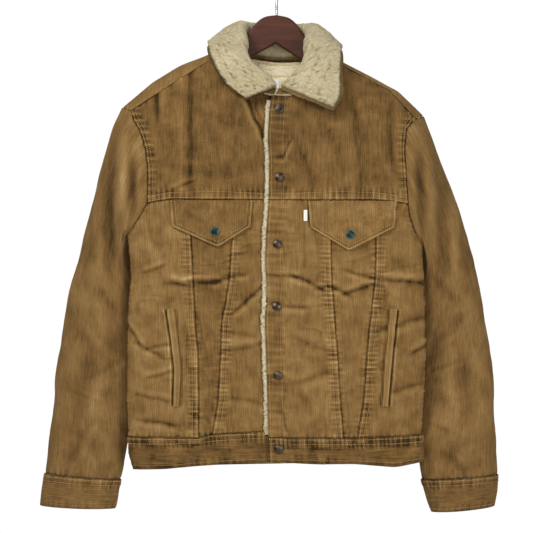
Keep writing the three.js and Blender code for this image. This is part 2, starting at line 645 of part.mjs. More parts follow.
// Collar: at each station round the neck, its seam at the neckline, its fold and its outer edge
const collarStations = [
  { neck: [-4, -60, -211.5], fold: [-2, -70, -205], edge: [-53, -74, -216] },
  { neck: [-23, -60, -208], fold: [-18, -70, -186.5], edge: [-78, -74, -195] },
  { neck: [-58, -60, -188.5], fold: [-42, -65, -168.5], edge: [-100, -69, -166] },
  { neck: [-74, -56, -163], fold: [-52.5, -55, -147.5], edge: [-108, -56, -147] },
  { neck: [-79, -31, -137], fold: [-57, -30, -121], edge: [-110.5, -25, -133.5] },
  { neck: [-78, -2, -128.5], fold: [-60, -4, -100], edge: [-108, 6, -131] },
  { neck: [-57, 27, -136.5], fold: [-45, 24, -98], edge: [-84, 46, -144] },
  { neck: [0, 35, -147], fold: [0, 32, -101.5], edge: [0, 58, -164] },
  { neck: [57, 27, -144], fold: [45, 24, -101], edge: [83, 46, -150] },
  { neck: [78, -2, -138.5], fold: [61, -4, -104.5], edge: [104, 6, -137] },
  { neck: [78.3, -28, -144.5], fold: [56.5, -30, -128], edge: [107, -26, -141.5] },
  { neck: [74, -56, -168.5], fold: [51, -56, -155], edge: [107, -58, -157] },
  { neck: [62, -61, -191], fold: [40, -68, -176.5], edge: [105.5, -71, -183] },
  { neck: [33, -67.5, -209], fold: [23, -77, -195.5], edge: [104, -79, -213] },
  { neck: [1, -68.5, -212.5], fold: [6, -79, -206], edge: [93, -81, -235] },
];
const collarShares = [0, 0.18, 0.36, 0.5, 0.6, 0.72, 0.86, 1];
const collarBulge = 6.5;
const collarColumns = 22;

// The collar's section at one station: up from the neckline, over the fold and down to the edge
function collarSection({ neck, fold, edge }) {
  const [low, top, end] = [neck, fold, edge].map((place) => new THREE.Vector3(...place));
  const frontal = THREE.MathUtils.clamp(-low.y / 60, 0, 1);
  const across = end.clone().sub(low).normalize().lerp(new THREE.Vector3(0, -1, 0), frontal).normalize();
  const point = (from, to, amount, bulge) => from.clone().lerp(to, amount).addScaledVector(across, bulge);
  return new THREE.CatmullRomCurve3([
    low, point(low, top, 0.7, -collarBulge * 0.7), top, point(top, end, 0.16, collarBulge),
    point(top, end, 0.55, collarBulge), end,
  ], false, 'centripetal');
}

const collarGrid = (() => {
  const sections = collarStations.map((station) => {
    const curve = collarSection(station);
    return collarShares.map((share) => curve.getPoint(share));
  });
  const lines = collarShares.map((_, k) => new THREE.CatmullRomCurve3(sections.map((section) => section[k])));
  const around = spread(0, 1, collarColumns);
  const rows = lines.map((line) => around.map((share) => line.getPoint(share)));
  return rows.map((row, j) => row.map((at, i) => {
    const alongRow = row[Math.min(i + 1, collarColumns)].clone().sub(row[Math.max(i - 1, 0)]);
    const [above, below] = [rows[Math.min(j + 1, rows.length - 1)][i], rows[Math.max(j - 1, 0)][i]];
    return { at, out: alongRow.cross(above.clone().sub(below)).normalize() };
  }));
})();

function collarLayer(offset, thickness) {
  const rows = collarGrid.map((row) => row.map(({ at, out }) => ({ at: at.clone().addScaledVector(out, offset), out })));
  return wall(rows, thickness);
}
add('collar_top', collarLayer(pileThickness + layerGap, pileThickness), pile);
add('collar_under', collarLayer(-layerGap, underCollarThickness), corduroy);

// Pile lining where it shows inside the back neck, with a blank label on it
const liningGap = 2.4;
const liningInset = -(clothThickness + liningGap);
const liningEndZ = -238;
const liningXs = [-58, -42, -21, 0, 21, 42, 58];
const neckReach = table('x reach', [
  [-76, 8], [-70, 19], [-50, 31], [-25, 36], [0, 38], [25, 36], [50, 31], [68, 19], [76, 8],
]).reach;
const liningRows = (inset, xs, topOf, bottomOf, cells) => spread(0, 1, cells).map((share) => xs.map((x) => (
  shoulderPoint(x, lerp(topOf(x), bottomOf(x), share), inset)
)));
add('back_neck_lining', wall(
  liningRows(liningInset, liningXs, neckReach, (x) => reachAt(x, liningEndZ), 6), pileThickness), pile);
const neckLabel = { left: -10.5, right: 6, top: -178, bottom: -193, thickness: 1 };
add('neck_label', wall(liningRows(
  liningInset - pileThickness - layerGap, [neckLabel.left, -2, neckLabel.right],
  (x) => reachAt(x, neckLabel.top), (x) => reachAt(x, neckLabel.bottom), 2), neckLabel.thickness), blankLabel);

// Pile edge of the opening, between the lapping right front and the left front under it
const pileEdge = { width: 31, showing: 6.5, thickness: 3.6, topZ: -222, bottomZ: -758 };
{
  const columns = [0, 0.5, 1].map((amount) => (share) => {
    const z = lerp(pileEdge.topZ, pileEdge.bottomZ, share);
    return { x: frontEdge.over(z) - pileEdge.showing + amount * pileEdge.width, z };
  });
  add('front_edge_pile', panel('front', columns, spread(0, 1, 12), {
    lift: () => layerGap + 0.1 + pileEdge.thickness, thickness: pileEdge.thickness, topGap: 0, bottomGap: 0,
  }), pile);
}

// Chest pocket flaps: top corners, side edges and a blunt point, moved out from the panels they lie on
const flaps = {
  left: { from: -170, to: -37.5, top: -382.5, sideZ: -424.5, tipX: -93, tipZ: -457.7, rest: restGap },
  right: { from: 51.5, to: 193, top: -383.5, sideZ: -426, tipX: 116, tipZ: -463.5, rest: 2 * restGap },
};
for (const [name, flap] of Object.entries(flaps)) {
  const narrow = 3.5;
  const xs = [...spread(flap.from, flap.tipX, 3), ...spread(flap.tipX, flap.to, 3).slice(1)];
  const bottomZ = (x) => {
    const end = x < flap.tipX ? flap.from : flap.to;
    return lerp(flap.sideZ, flap.tipZ, (x - end) / (flap.tipX - end));
  };
  const centre = (flap.from + flap.to) / 2;
  const columns = xs.map((x) => (share) => ({
    x: x + (share * narrow * Math.sign(centre - x) * Math.abs(x - centre)) / (flap.to - centre),
    z: lerp(flap.top, bottomZ(x), share),
  }));
  const under = sides[name].lift;
  const lift = (x, z) => (
    under(x) + flapThickness + flap.rest + (flapLift * (flap.top - z)) / (flap.top - flap.tipZ)
  );
  add(`pocket_flap_${name}`, panel('front', columns, spread(0, 1, 4), {
    lift, thickness: flapThickness, topGap: 0, bottomGap: 0,
  }), corduroy);
}

// Blank tab label at the right flap's inner edge
const pocketTab = { x: 47.6, topZ: -398, bottomZ: -416, width: 7, lift: 1.9, thickness: 1 };
add('pocket_tab', panel('front', [pocketTab.x - pocketTab.width / 2, pocketTab.x + 2.5].map((x) => (share) => ({
  x, z: lerp(pocketTab.topZ, pocketTab.bottomZ, share),
})), [0, 0.5, 1], { lift: (x) => lapLift(x) + pocketTab.lift, thickness: pocketTab.thickness, topGap: 0, bottomGap: 0 }), blankLabel);

// Welts of the slanting side pockets: the strip's middle line and width, from top to bottom
const weltRows = {
  left: table('z x width', [[-557, -169.5, 13], [-612, -162, 12], [-656, -157.5, 11.5], [-714, -160, 10]]),
  right: table('z x width', [[-559, 188, 13], [-604, 183.5, 12], [-656, 178.5, 11.5], [-714, 174.5, 10]]),
};
for (const [name, welt] of Object.entries(weltRows)) {
  const columns = [-0.5, 0.5].map((edge) => (share) => {
    const z = lerp(-557, -714, share);
    return { x: welt.x(z) + edge * welt.width(z), z };
  });
  add(`pocket_welt_${name}`, panel('front', columns, spread(0, 1, 8), {
    lift: () => weltThickness + restGap, thickness: weltThickness, topGap: 0, bottomGap: 0,
  }), corduroy);
}

// Domed metal buttons, seated on the face of the cloth
const buttonProfile = [[0, 0], [6, 0], [7.2, 0.8], [7.2, 1.7], [6.2, 2.4], [3.4, 3], [0, 3.4]];
function addButton(name, x, z, lift) {
  const profile = buttonProfile.map(([radius, height]) => (
    new THREE.Vector2((radius * buttonRadius) / 7.2, (height * buttonHeight) / 3.4)
  ));
  const mesh = add(name, new THREE.LatheGeometry(profile, buttonSides), agedMetal);
  const { at, out } = bodyPoint('front', x, z, lift);
  mesh.position.copy(at);
  mesh.quaternion.setFromUnitVectors(new THREE.Vector3(0, 1, 0), out);
}
const frontButtons = table('z x', [[-236, 5], [-345.5, 5.5], [-452.5, 2], [-552.5, 1], [-662.5, 3], [-780.7, 4.5]]).x;
[-236, -345.5, -452.5, -552.5, -662.5, -780.7].forEach((z, i) => {
  addButton(`front_button_${i + 1}`, frontButtons(z), z, overlapLift + layerGap + (i === 5 ? 0.5 : 0));
});
const flapButtonLift = flapThickness + restGap + 0.67 * flapLift + layerGap;
addButton('flap_button_left', -98, -432, flapButtonLift);
addButton('flap_button_right', 119, -437.5, flapButtonLift);

// Hanger: a wooden bar with an arched top, cut from a board, and a wire hook
const hangerTop = [[0, 0], [20, -4], [34, -15], [49, -38], [62, -59], [84, -74], [120, -86], [160, -104], [205, -133]];
const hangerEnd = [[226, -151], [232, -160], [227, -168]];
const hangerBottom = [[200, -160], [150, -131], [100, -105], [46, -74]];
{
  const half = [...hangerTop, ...hangerEnd, ...hangerBottom];
  const mirrored = half.slice(1).reverse().map(([x, z]) => [-x, z]);
  const shape = new THREE.Shape([...half, [0, -46], ...mirrored].map(([x, z]) => new THREE.Vector2(x, z)));
  const bevel = 2.5;
  const geometry = new THREE.ExtrudeGeometry(shape, {
    depth: hangerThickness - 2 * bevel, bevelSize: bevel, bevelThickness: bevel, bevelOffset: -bevel,
    bevelSegments: 2, steps: 1,
  });
  geometry.translate(0, 0, -hangerThickness / 2 + bevel);
  geometry.rotateX(Math.PI / 2);
  const bar = add('hanger_bar', geometry, darkWood);
  bar.rotation.y = hangerTilt;
  bar.position.set(1.5, 0, hangerApexZ);

  const centreZ = hookWire / 2 - hookRadius;
  const arc = (degrees) => {
    const angle = THREE.MathUtils.degToRad(degrees);
    return new THREE.Vector3(hookRadius * Math.cos(angle), 0, centreZ + hookRadius * Math.sin(angle));
  };
  const bend = new THREE.CatmullRomCurve3([
    ...[195, 165, 135, 105, 75, 45, 15, -15, -45].map(arc),
    new THREE.Vector3(4.5, 0, centreZ - hookRadius - 3), new THREE.Vector3(1.5, 0, centreZ - hookRadius - 14),
    new THREE.Vector3(1.5, 0, hangerApexZ + 0.4),
  ]);
  const wire = new THREE.Shape();
  for (let i = 0; i < 8; i += 1) {
    const angle = ((i + 0.5) * Math.PI) / 4;
    wire[i ? 'lineTo' : 'moveTo']((hookWire / 2) * Math.cos(angle), (hookWire / 2) * Math.sin(angle));
  }
  add('hanger_hook', new THREE.ExtrudeGeometry(wire, { steps: 44, extrudePath: bend }), steelWire);
}

export default jacket;
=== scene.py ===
# A corduroy jacket with a pile lining and collar, buttoned and hung on a wooden hanger.
# Lengths inside the functions are millimetres in the CAD's frame; meshes are written in metres.
# "Left" and "right" are those of someone who looks at the front.
import math

import bmesh
import bpy
import numpy as np
from mathutils import Matrix, Vector


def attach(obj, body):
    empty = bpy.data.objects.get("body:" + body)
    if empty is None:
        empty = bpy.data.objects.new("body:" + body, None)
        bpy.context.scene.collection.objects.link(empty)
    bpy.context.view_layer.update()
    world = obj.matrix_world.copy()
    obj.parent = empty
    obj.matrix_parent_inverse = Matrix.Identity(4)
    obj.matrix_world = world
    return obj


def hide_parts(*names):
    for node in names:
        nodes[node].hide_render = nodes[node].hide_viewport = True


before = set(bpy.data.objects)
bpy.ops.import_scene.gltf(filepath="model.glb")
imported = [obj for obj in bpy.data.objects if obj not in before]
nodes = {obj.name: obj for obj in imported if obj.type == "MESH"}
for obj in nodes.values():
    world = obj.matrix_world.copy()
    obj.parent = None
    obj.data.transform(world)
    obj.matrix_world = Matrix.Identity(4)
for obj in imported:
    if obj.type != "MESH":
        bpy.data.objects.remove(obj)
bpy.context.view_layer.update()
print("frame loaded:", len(nodes), "CAD nodes")

millimetre = 0.001


# Small numeric helpers

def curve(rows, column=1, soft=0.0):
    # Straight interpolation on the first column, eased over `soft` millimetres at the knots.
    points = sorted((row[0], row[column]) for row in rows)
    xs = np.array([p[0] for p in points], float)
    ys = np.array([p[1] for p in points], float)
    if not soft:
        return lambda at: np.interp(at, xs, ys)
    reach = int(3 * soft) + 1
    fine = np.arange(xs[0], xs[-1] + 0.5, 0.5)
    values = np.interp(fine, xs, ys)
    before = values[0] + (values[1] - values[0]) * np.arange(-2 * reach, 0)
    after = values[-1] + (values[-1] - values[-2]) * np.arange(1, 2 * reach + 1)
    weights = bell(np.arange(-2 * reach, 2 * reach + 1), 2 * soft)
    eased = np.convolve(np.concatenate([before, values, after]), weights / weights.sum(), "valid")
    return lambda at: np.interp(at, fine, eased)


def blend(a, b, share):
    return a + (b - a) * share


def smoothstep(value, low, high):
    share = np.clip((value - low) / (high - low), 0, 1)
    return share * share * (3 - 2 * share)


def bell(value, width):
    return np.exp(-(value / width) ** 2)


def pair(a, b):
    return np.stack(np.broadcast_arrays(a, b), axis=-1)


noiseCells = 64  # a noise repeats after this many of its bumps


def softNoise(x, y, seed):
    # Smooth random relief from -1 to 1 with one bump per unit.
    lattice = np.random.default_rng(seed).uniform(-1, 1, (noiseCells, noiseCells))
    x, y = np.broadcast_arrays(np.asarray(x, float), np.asarray(y, float))
    cellX, cellY = np.floor(x).astype(int), np.floor(y).astype(int)
    shareX, shareY = smoothstep(x - cellX, 0, 1), smoothstep(y - cellY, 0, 1)
    low, high = ([side % noiseCells for side in (cell, cell + 1)] for cell in (cellX, cellY))
    here, above = (blend(lattice[row, low[0]], lattice[row, low[1]], shareX) for row in high)
    return blend(here, above, shareY)


def crumbs(x, y, size, seed):
    # Rounded tufts side by side, each about `size` across: 1 on top and 0 in the creases between them.
    jitter = np.random.default_rng(seed).uniform(0.12, 0.88, (noiseCells, noiseCells, 2))
    x, y = x / size, y / size
    cellX, cellY = np.floor(x).astype(int), np.floor(y).astype(int)
    nearest = np.full(x.shape, 9.0)
    for stepX in (-1, 0, 1):
        for stepY in (-1, 0, 1):
            place = jitter[(cellY + stepY) % noiseCells, (cellX + stepX) % noiseCells]
            apart = (x - cellX - stepX - place[..., 0]) ** 2 + (y - cellY - stepY - place[..., 1]) ** 2
            nearest = np.minimum(nearest, apart)
    return np.sqrt(np.clip(1 - nearest / 0.72, 0, 1))


def spline(points, shares):
    # Centripetal Catmull-Rom through `points`, whose first axis is the order along the curve.
    points = np.asarray(points, float)
    last = len(points) - 1
    padded = np.concatenate([[2 * points[0] - points[1]], points, [2 * points[-1] - points[-2]]])
    gap = lambda a, b: np.maximum(np.linalg.norm(b - a, axis=-1, keepdims=True), 1e-6) ** 0.5
    made = []
    for share in shares:
        at = min(max(share, 0.0), 1.0) * last
        k = min(int(at), last - 1)
        p0, p1, p2, p3 = padded[k:k + 4]
        d0, d1, d2 = gap(p0, p1), gap(p1, p2), gap(p2, p3)
        first = ((p1 - p0) / d0 - (p2 - p0) / (d0 + d1) + (p2 - p1) / d1) * d1
        second = ((p2 - p1) / d1 - (p3 - p1) / (d1 + d2) + (p3 - p2) / d2) * d1
        w = at - k
        made.append((2 * w ** 3 - 3 * w ** 2 + 1) * p1 + (w ** 3 - 2 * w ** 2 + w) * first
                    + (3 * w ** 2 - 2 * w ** 3) * p2 + (w ** 3 - w ** 2) * second)
    return np.array(made)


def spacedShares(length, spacing, nearStart=(), nearEnd=()):
    # Places from 0 to `length`: the named distances from each end, and even ones between.
    low, high = max(nearStart, default=0), length - max(nearEnd, default=0)
    cells = max(2, round((high - low) / spacing))
    middle = low + (high - low) * np.arange(cells + 1) / cells
    return np.unique(np.round(np.concatenate([list(nearStart), middle, [length - d for d in nearEnd]]), 4))


def gridNormals(points):
    along = np.gradient(points, axis=1)
    down = np.gradient(points, axis=0)
    normals = np.cross(along, down)
    return normals / np.maximum(np.linalg.norm(normals, axis=-1, keepdims=True), 1e-9)


def facing(surface, like):
    # The surface's own normals, turned to the side that `like` points to.
    normals = gridNormals(surface)
    return normals * np.sign(np.sum(normals * like, axis=-1, keepdims=True))


def arcAlong(points, axis):
    steps = np.linalg.norm(np.diff(points, axis=axis), axis=-1)
    start = np.zeros_like(np.take(steps, [0], axis=axis))
    return np.cumsum(np.concatenate([start, steps], axis=axis), axis=axis)


photoScale, photoMiddle, photoTop = 1.62, 276, -56.94  # millimetres a pixel, pixel of x = 0, z of the top edge


def fromPhoto(x, y):
    # A place in the photograph, in its pixels, as x and z on the object's front.
    return (x - photoMiddle) * photoScale, photoTop - photoScale * y


# Materials

def linear(hexColour, alpha=1.0):
    channels = [int(hexColour[i:i + 2], 16) / 255 for i in (1, 3, 5)]
    return tuple(c / 12.92 if c <= 0.04045 else ((c + 0.055) / 1.055) ** 2.4 for c in channels) + (alpha,)


def fillInputs(tree, node, inputs):
    # A value that is a node itself is linked by its first output.
    for key, value in inputs.items():
        if isinstance(value, bpy.types.Node):
            value = value.outputs[0]
        if isinstance(value, bpy.types.NodeSocket):
            tree.links.new(value, node.inputs[key])
        else:
            node.inputs[key].default_value = value


def addNode(tree, kind, inputs=None, stops=(), **settings):
    # Adds one shader node; `stops` are the places and colours of a colour ramp.
    made = tree.nodes.new("ShaderNode" + kind)
    for key, value in settings.items():
        setattr(made, key, value)
    for index, (place, colour) in enumerate(stops):
        elements = made.color_ramp.elements
        element = elements[index] if index < 2 else elements.new(place)
        element.position, element.color = place, linear(colour)
    fillInputs(tree, made, inputs or {})
    return made


def newMaterial(name):
    material = bpy.data.materials.new(name)
    material.use_nodes = True
    tree = material.node_tree
    return material, tree, tree.nodes["Principled BSDF"]


def unevenTone(tree, sources):
    # The tone written on the mesh, made uneven by each texture's amount.
    level = addNode(tree, "Attribute", attribute_name="tone", attribute_type="GEOMETRY").outputs["Fac"]
    for source, amount in sources:
        centred = addNode(tree, "Math", {0: source, 1: 0.5}, operation="SUBTRACT")
        scaled = addNode(tree, "Math", {0: centred, 1: amount}, operation="MULTIPLY")
        level = addNode(tree, "Math", {0: level, 1: scaled}, operation="ADD")
    return level


corduroySettings = {
    "walePitch": 0.0030,  # metres; real wales are nearer 2 mm, drawn as coarse as the render can show
    "waleGrooveShade": "#4A3418", "sheenColour": "#C8A877",
    "streakAcross": 260, "streakAlong": 34, "mottleScale": 34, "fibreScale": 620, "wobbleScale": 9, "wobble": 0.006,
    "streakAmount": 0.5, "mottleAmount": 0.5, "fibreAmount": 0.42,
    "bumpDistance": 0.0007, "bumpStrength": 0.55, "roughness": 0.96, "sheen": 0.22,
}


def corduroyMaterial(name, dark, middle, light, wornAndHighlit):
    # Cotton corduroy, garment dyed and washed: matt pile in cords; the mesh's tone paints shade into the seams and
    # creases and pales raised edges as wear and painted highlight.
    material, tree, shader = newMaterial(name)
    s = corduroySettings
    uv = addNode(tree, "UVMap", uv_map="UVMap")
    parts = addNode(tree, "SeparateXYZ", {"Vector": uv})
    wobble = addNode(tree, "TexNoise", {"Vector": uv, "Scale": s["wobbleScale"], "Detail": 1})
    drift = addNode(tree, "Math", {0: wobble, 1: s["wobble"]}, operation="MULTIPLY")
    across = addNode(tree, "Math", {0: parts, 1: drift}, operation="ADD")
    turn = addNode(tree, "Math", {0: across, 1: 2 * math.pi / s["walePitch"]}, operation="MULTIPLY")
    wave = addNode(tree, "Math", {0: turn}, operation="SINE")
    wale = addNode(tree, "MapRange", {0: wave, 1: -1, 2: 0.35, 3: 0, 4: 1})
    stretch = (s["streakAcross"], s["streakAlong"], 1)
    stretched = addNode(tree, "VectorMath", {0: uv, 1: stretch}, operation="MULTIPLY")
    streak = addNode(tree, "TexNoise", {"Vector": stretched, "Scale": 1, "Detail": 3, "Roughness": 0.6})
    mottle = addNode(tree, "TexNoise", {"Vector": uv, "Scale": s["mottleScale"], "Detail": 5, "Roughness": 0.62})
    fibre = addNode(tree, "TexNoise", {"Vector": uv, "Scale": s["fibreScale"], "Detail": 2})
    level = unevenTone(tree, [(streak, s["streakAmount"]), (mottle, s["mottleAmount"]), (fibre, s["fibreAmount"])])
    cloth = addNode(tree, "ValToRGB", {"Fac": level}, [(0.1, dark), (0.98, wornAndHighlit), (0.45, middle), (0.7, light)])
    broken = addNode(tree, "MapRange", {0: streak, 1: 0.35, 2: 0.65, 3: 0.1, 4: 0.34})
    # The grooves between the cords are mixed towards a painted shade colour.
    groove = addNode(tree, "Math", {0: 1, 1: wale}, operation="SUBTRACT")
    depth = addNode(tree, "Math", {0: groove, 1: broken}, operation="MULTIPLY")
    mixed = addNode(tree, "Mix", {"Factor": depth, 6: cloth, 7: linear(s["waleGrooveShade"])}, data_type="RGBA")
    fuzz = addNode(tree, "Math", {0: fibre, 1: 0.35}, operation="MULTIPLY")
    relief = addNode(tree, "Math", {0: wale, 1: fuzz}, operation="ADD")
    bump = addNode(tree, "Bump", {"Height": relief, "Strength": s["bumpStrength"], "Distance": s["bumpDistance"]})
    fillInputs(tree, shader, {
        "Base Color": mixed.outputs[2], "Normal": bump, "Roughness": s["roughness"], "Sheen Weight": s["sheen"],
        "Sheen Roughness": 0.5, "Sheen Tint": linear(s["sheenColour"]), "Specular IOR Level": 0.12})
    return material


def pileMaterial(name, creaseShade, middle, top, size):
    # Curly polyester pile (sherpa): soft matt tufts, with painted highlight on their tops and painted shade in the
    # creases.
    material, tree, shader = newMaterial(name)
    place = addNode(tree, "TexCoord").outputs["Object"]
    curl = addNode(tree, "TexNoise", {"Vector": place, "Scale": 1 / size, "Detail": 3, "Distortion": 1.6})
    patch = addNode(tree, "TexNoise", {"Vector": place, "Scale": 28, "Detail": 2})
    # The same curl noise raises the bump and pales the colour, so the curls' tops carry painted highlight.
    level = unevenTone(tree, [(curl, 0.85), (patch, 0.3)])
    shade = addNode(tree, "ValToRGB", {"Fac": level}, [(0.1, creaseShade), (0.85, top), (0.45, middle)])
    bump = addNode(tree, "Bump", {"Height": curl, "Strength": 1, "Distance": size * 0.8})
    fillInputs(tree, shader, {
        "Base Color": shade, "Normal": bump, "Roughness": 1, "Sheen Weight": 0.25, "Sheen Tint": linear("#FFF6E2"),
        "Specular IOR Level": 0.05})
    return material


def woodMaterial(name, dark, middle, light):
    # Stained and lacquered hardwood: dark red-brown, fine grain along the arms, a soft gloss on the edges.
    material, tree, shader = newMaterial(name)
    place = addNode(tree, "TexCoord").outputs["Object"]
    laid = addNode(tree, "Mapping", {"Vector": place, "Scale": (14, 60, 190)})
    grain = addNode(tree, "TexNoise", {"Vector": laid, "Scale": 1, "Detail": 4, "Distortion": 0.4})
    stain = addNode(tree, "ValToRGB", {"Fac": grain}, [(0.25, dark), (0.85, light), (0.55, middle)])
    bump = addNode(tree, "Bump", {"Height": grain, "Strength": 0.15, "Distance": 0.0003})
    fillInputs(tree, shader, {
        "Base Color": stain, "Normal": bump, "Roughness": 0.5, "Specular IOR Level": 0.2, "Coat Weight": 0.03,
        "Coat Roughness": 0.2})
    return material


def metalMaterial(name, dark, light, roughness, grain):
    # Plated metal; patches of patina come from the noise.
    material, tree, shader = newMaterial(name)
    place = addNode(tree, "TexCoord").outputs["Object"]
    patches = addNode(tree, "TexNoise", {"Vector": place, "Scale": grain, "Detail": 4})
    plated = addNode(tree, "ValToRGB", {"Fac": patches}, [(0.35, dark), (0.65, light)])
    rough = addNode(tree, "MapRange", {0: patches, 1: 0.3, 2: 0.7, 3: roughness + 0.12, 4: roughness})
    fillInputs(tree, shader, {"Base Color": plated, "Roughness": rough, "Metallic": 1})
    return material


def plainCloth(name, dark, light, thread):
    # Woven tape or thread: matt, with the crossing threads in its bump.
    material, tree, shader = newMaterial(name)
    place = addNode(tree, "TexCoord").outputs["Object"]
    weave = addNode(tree, "TexNoise", {"Vector": place, "Scale": 1 / thread, "Detail": 2})
    woven = addNode(tree, "ValToRGB", {"Fac": weave}, [(0.3, dark), (0.7, light)])
    bump = addNode(tree, "Bump", {"Height": weave, "Strength": 0.4, "Distance": 0.0002})
    fillInputs(tree, shader, {"Base Color": woven, "Normal": bump, "Roughness": 0.9})
    return material


corduroy = corduroyMaterial("washedCorduroy", "#35260F", "#836338", "#A38352", "#D6B985")
# The sleeves get a darker copy of the corduroy: painted shade.
shadedSleeveCorduroy = corduroyMaterial("washedCorduroySleeveShaded", "#32230F", "#7F6037", "#9C7C4D", "#CDAF7E")
pile = pileMaterial("curlyPile", "#70603F", "#B8A982", "#DBCFAF", 0.0030)
# A lighter copy of the pile for the lining: painted light that lifts it out of the collar's shade.
liningPileWithPaintedLight = pileMaterial("liningPileWithPaintedLight", "#C4AB74", "#F2E1B2", "#FFF5D6", 0.0045)
wood = woodMaterial("lacqueredWood", "#38190C", "#4C2512", "#5E3119")
bronze = metalMaterial("agedBronze", "#2E2822", "#6B5D4E", 0.4, 160)
patina = metalMaterial("patinatedBronze", "#34524F", "#5E7C77", 0.5, 200)
darkPatina = metalMaterial("darkPatina", "#16211F", "#3A4A45", 0.45, 200)
steel = metalMaterial("brightSteelWire", "#8E8A92", "#D9D6DC", 0.2, 60)
thread = plainCloth("cottonThread", "#A58450", "#D2B27B", 0.0006)
sleeveLining = plainCloth("sleeveLining", "#4E3A20", "#63492A", 0.0006)
labelTape = plainCloth("blankLabelTape", "#E4E0D4", "#F7F5EE", 0.0007)
print("materials made")


# The jacket's form, as in the CAD source

clothThickness, bandThickness, cuffThickness, flapThickness = 2.6, 4.2, 4.0, 2.6
seamGap, faceGap, layerGap, restGap = 0.09, 0.25, 0.6, 0.45
sideSquareness, shoulderRadius = 2.5, 45.0

shoulderLine = curve([
    (-251, -229), (-201, -188), (-155, -160), (-112, -143), (-81, -131), (79, -141), (112, -156), (201, -203),
    (241, -243)], soft=5)
frontTop = curve([
    (-235, -235.5), (-171, -196.5), (-108, -157.5), (-81, -146), (-76, -164), (-62, -188), (-40, -204),
    (-12, -214), (20, -216), (45, -207), (65, -193), (75, -176), (79, -153), (110, -165.5), (184, -203),
    (227, -249)])
chestSeam = {
    "left": curve([(-207, -386), (-172, -380.5), (20, -381.5)]),
    "right": curve([(-20, -381.5), (162, -381.5), (186, -383.5), (213, -387.5)]),
}
bandSeam = {
    "left": curve([(-239, -764), (-124.5, -764), (-103, -758), (20, -752.5)]),
    "right": curve([(-13, -762.5), (108.5, -765), (131, -765), (237, -761)]),
    "back": curve([(-239, -764), (0, -767), (237, -761)]),
}
hemLine = {
    "left": curve([(-231, -817), (-177, -815), (-130, -810), (-65, -805.5), (20, -802)], soft=8),
    "right": curve([(-13, -802), (16, -802.5), (66, -807), (125, -806.5), (193, -812.5), (240, -804)], soft=8),
    "back": curve([(-231, -817), (-110, -817), (0, -815), (120, -813), (240, -804)], soft=8),
}
backYokeSeam = curve([(-207, -334), (209.5, -347)])
bodyEdgeRows = [
    (-229, -251, 241), (-300, -248, 240), (-441, -241.5, 236.5), (-452, -240.5, 236.5), (-509, -235.5, 241),
    (-536, -238.5, 242.5), (-577, -243, 241.5), (-629, -241.5, 243), (-703, -241.5, 240), (-764, -238.5, 237),
    (-790, -238.5, 239.5), (-817, -231, 240)]
bodyEdge = {"left": curve(bodyEdgeRows, 1, 5), "right": curve(bodyEdgeRows, 2, 5)}
armholeRows = [
    (-229, -251, 241), (-235.5, -235, 241), (-243, -233.5, 241), (-249.5, -232, 226), (-267, -221, 211),
    (-298, -211, 208), (-330, -207, 209.5), (-386, -207, 213), (-408, -220, 216), (-428, -233, 223),
    (-441, -241.5, 229), (-452, -241, 236.5)]
armhole = {"left": curve(armholeRows, 1), "right": curve(armholeRows, 2)}
bodyDepthRows = [
    (-130, 0, -59, 48), (-229, 0, -60, 50), (-340, -14, -61.5, 51), (-441, -25, -62, 50), (-600, -27, -62, 46),
    (-764, -26, -57, 42), (-817, -26, -54, 40)]
sideDepth = curve(bodyDepthRows, 1, 18)
faceDepth = {"front": curve(bodyDepthRows, 2, 18), "back": curve(bodyDepthRows, 3, 18)}
frontStyleRows = [
    (-379, -139, -69, 87, 162), (-445, -137, -71, 88, 160.5), (-509, -133, -74.5, 89.5, 159),
    (-577, -130.5, -87, 94.5, 151), (-629, -125, -89, 99, 146), (-704, -124.5, -93, 103.5, 141),
    (-764, -124.5, -103, 108.5, 131)]
frontEdge = curve([
    (-216, -8), (-242, -11), (-280, -13.5), (-321, -11), (-381, -12), (-438, -16), (-486, -17.5), (-522, -15),
    (-577, -18), (-629, -16), (-690, -14), (-764, -12.5), (-806, -10)], soft=8)
hiddenEdge = 20  # the left front ends here under the right one
styleSeam = {
    "left": {"outer": curve(frontStyleRows, 1, 8), "inner": curve(frontStyleRows, 2, 8),
             "edge": lambda z: hiddenEdge + 0 * z},
    "right": {"outer": curve(frontStyleRows, 4, 8), "inner": curve(frontStyleRows, 3, 8), "edge": frontEdge},
}
backStyle = {"left": curve([(-334, -118), (-764, -68)]), "right": curve([(-334, 122), (-764, 72)])}
sides = {
    "left": {"sign": -1, "tipZ": -229, "pitZ": -441, "chestZ": -386},
    "right": {"sign": 1, "tipZ": -243, "pitZ": -452, "chestZ": -387.5},
}


def lapLift(x):
    return 8 * (1 - smoothstep(x, 25, 70))


def faceY(side, x, z):
    left, right = bodyEdge["left"](z), bodyEdge["right"](z)
    across = np.minimum(1, np.abs(x - (left + right) / 2) / ((right - left) / 2))
    width = (1 - across ** sideSquareness) ** (1 / sideSquareness)
    drop = np.clip((shoulderLine(x) - z) / shoulderRadius, 0, 1)
    rounding = np.sqrt(1 - (1 - drop) ** 2)
    outward = -1 if side == "front" else 1
    return sideDepth(z) + (faceDepth[side](z) - sideDepth(z)) * width * rounding + outward * faceGap


def bodySide(name):
    # The body's outline from the armhole seam down to the hem, as x at a height.
    pitZ = sides[name]["pitZ"]
    return lambda z: np.where(z > pitZ, armhole[name](z), bodyEdge[name](z))


def reachAt(x, z):
    drop = shoulderLine(x) - z
    return shoulderRadius * np.arccos(np.clip(1 - drop / shoulderRadius, 0, 1)) + np.maximum(0, drop - shoulderRadius)


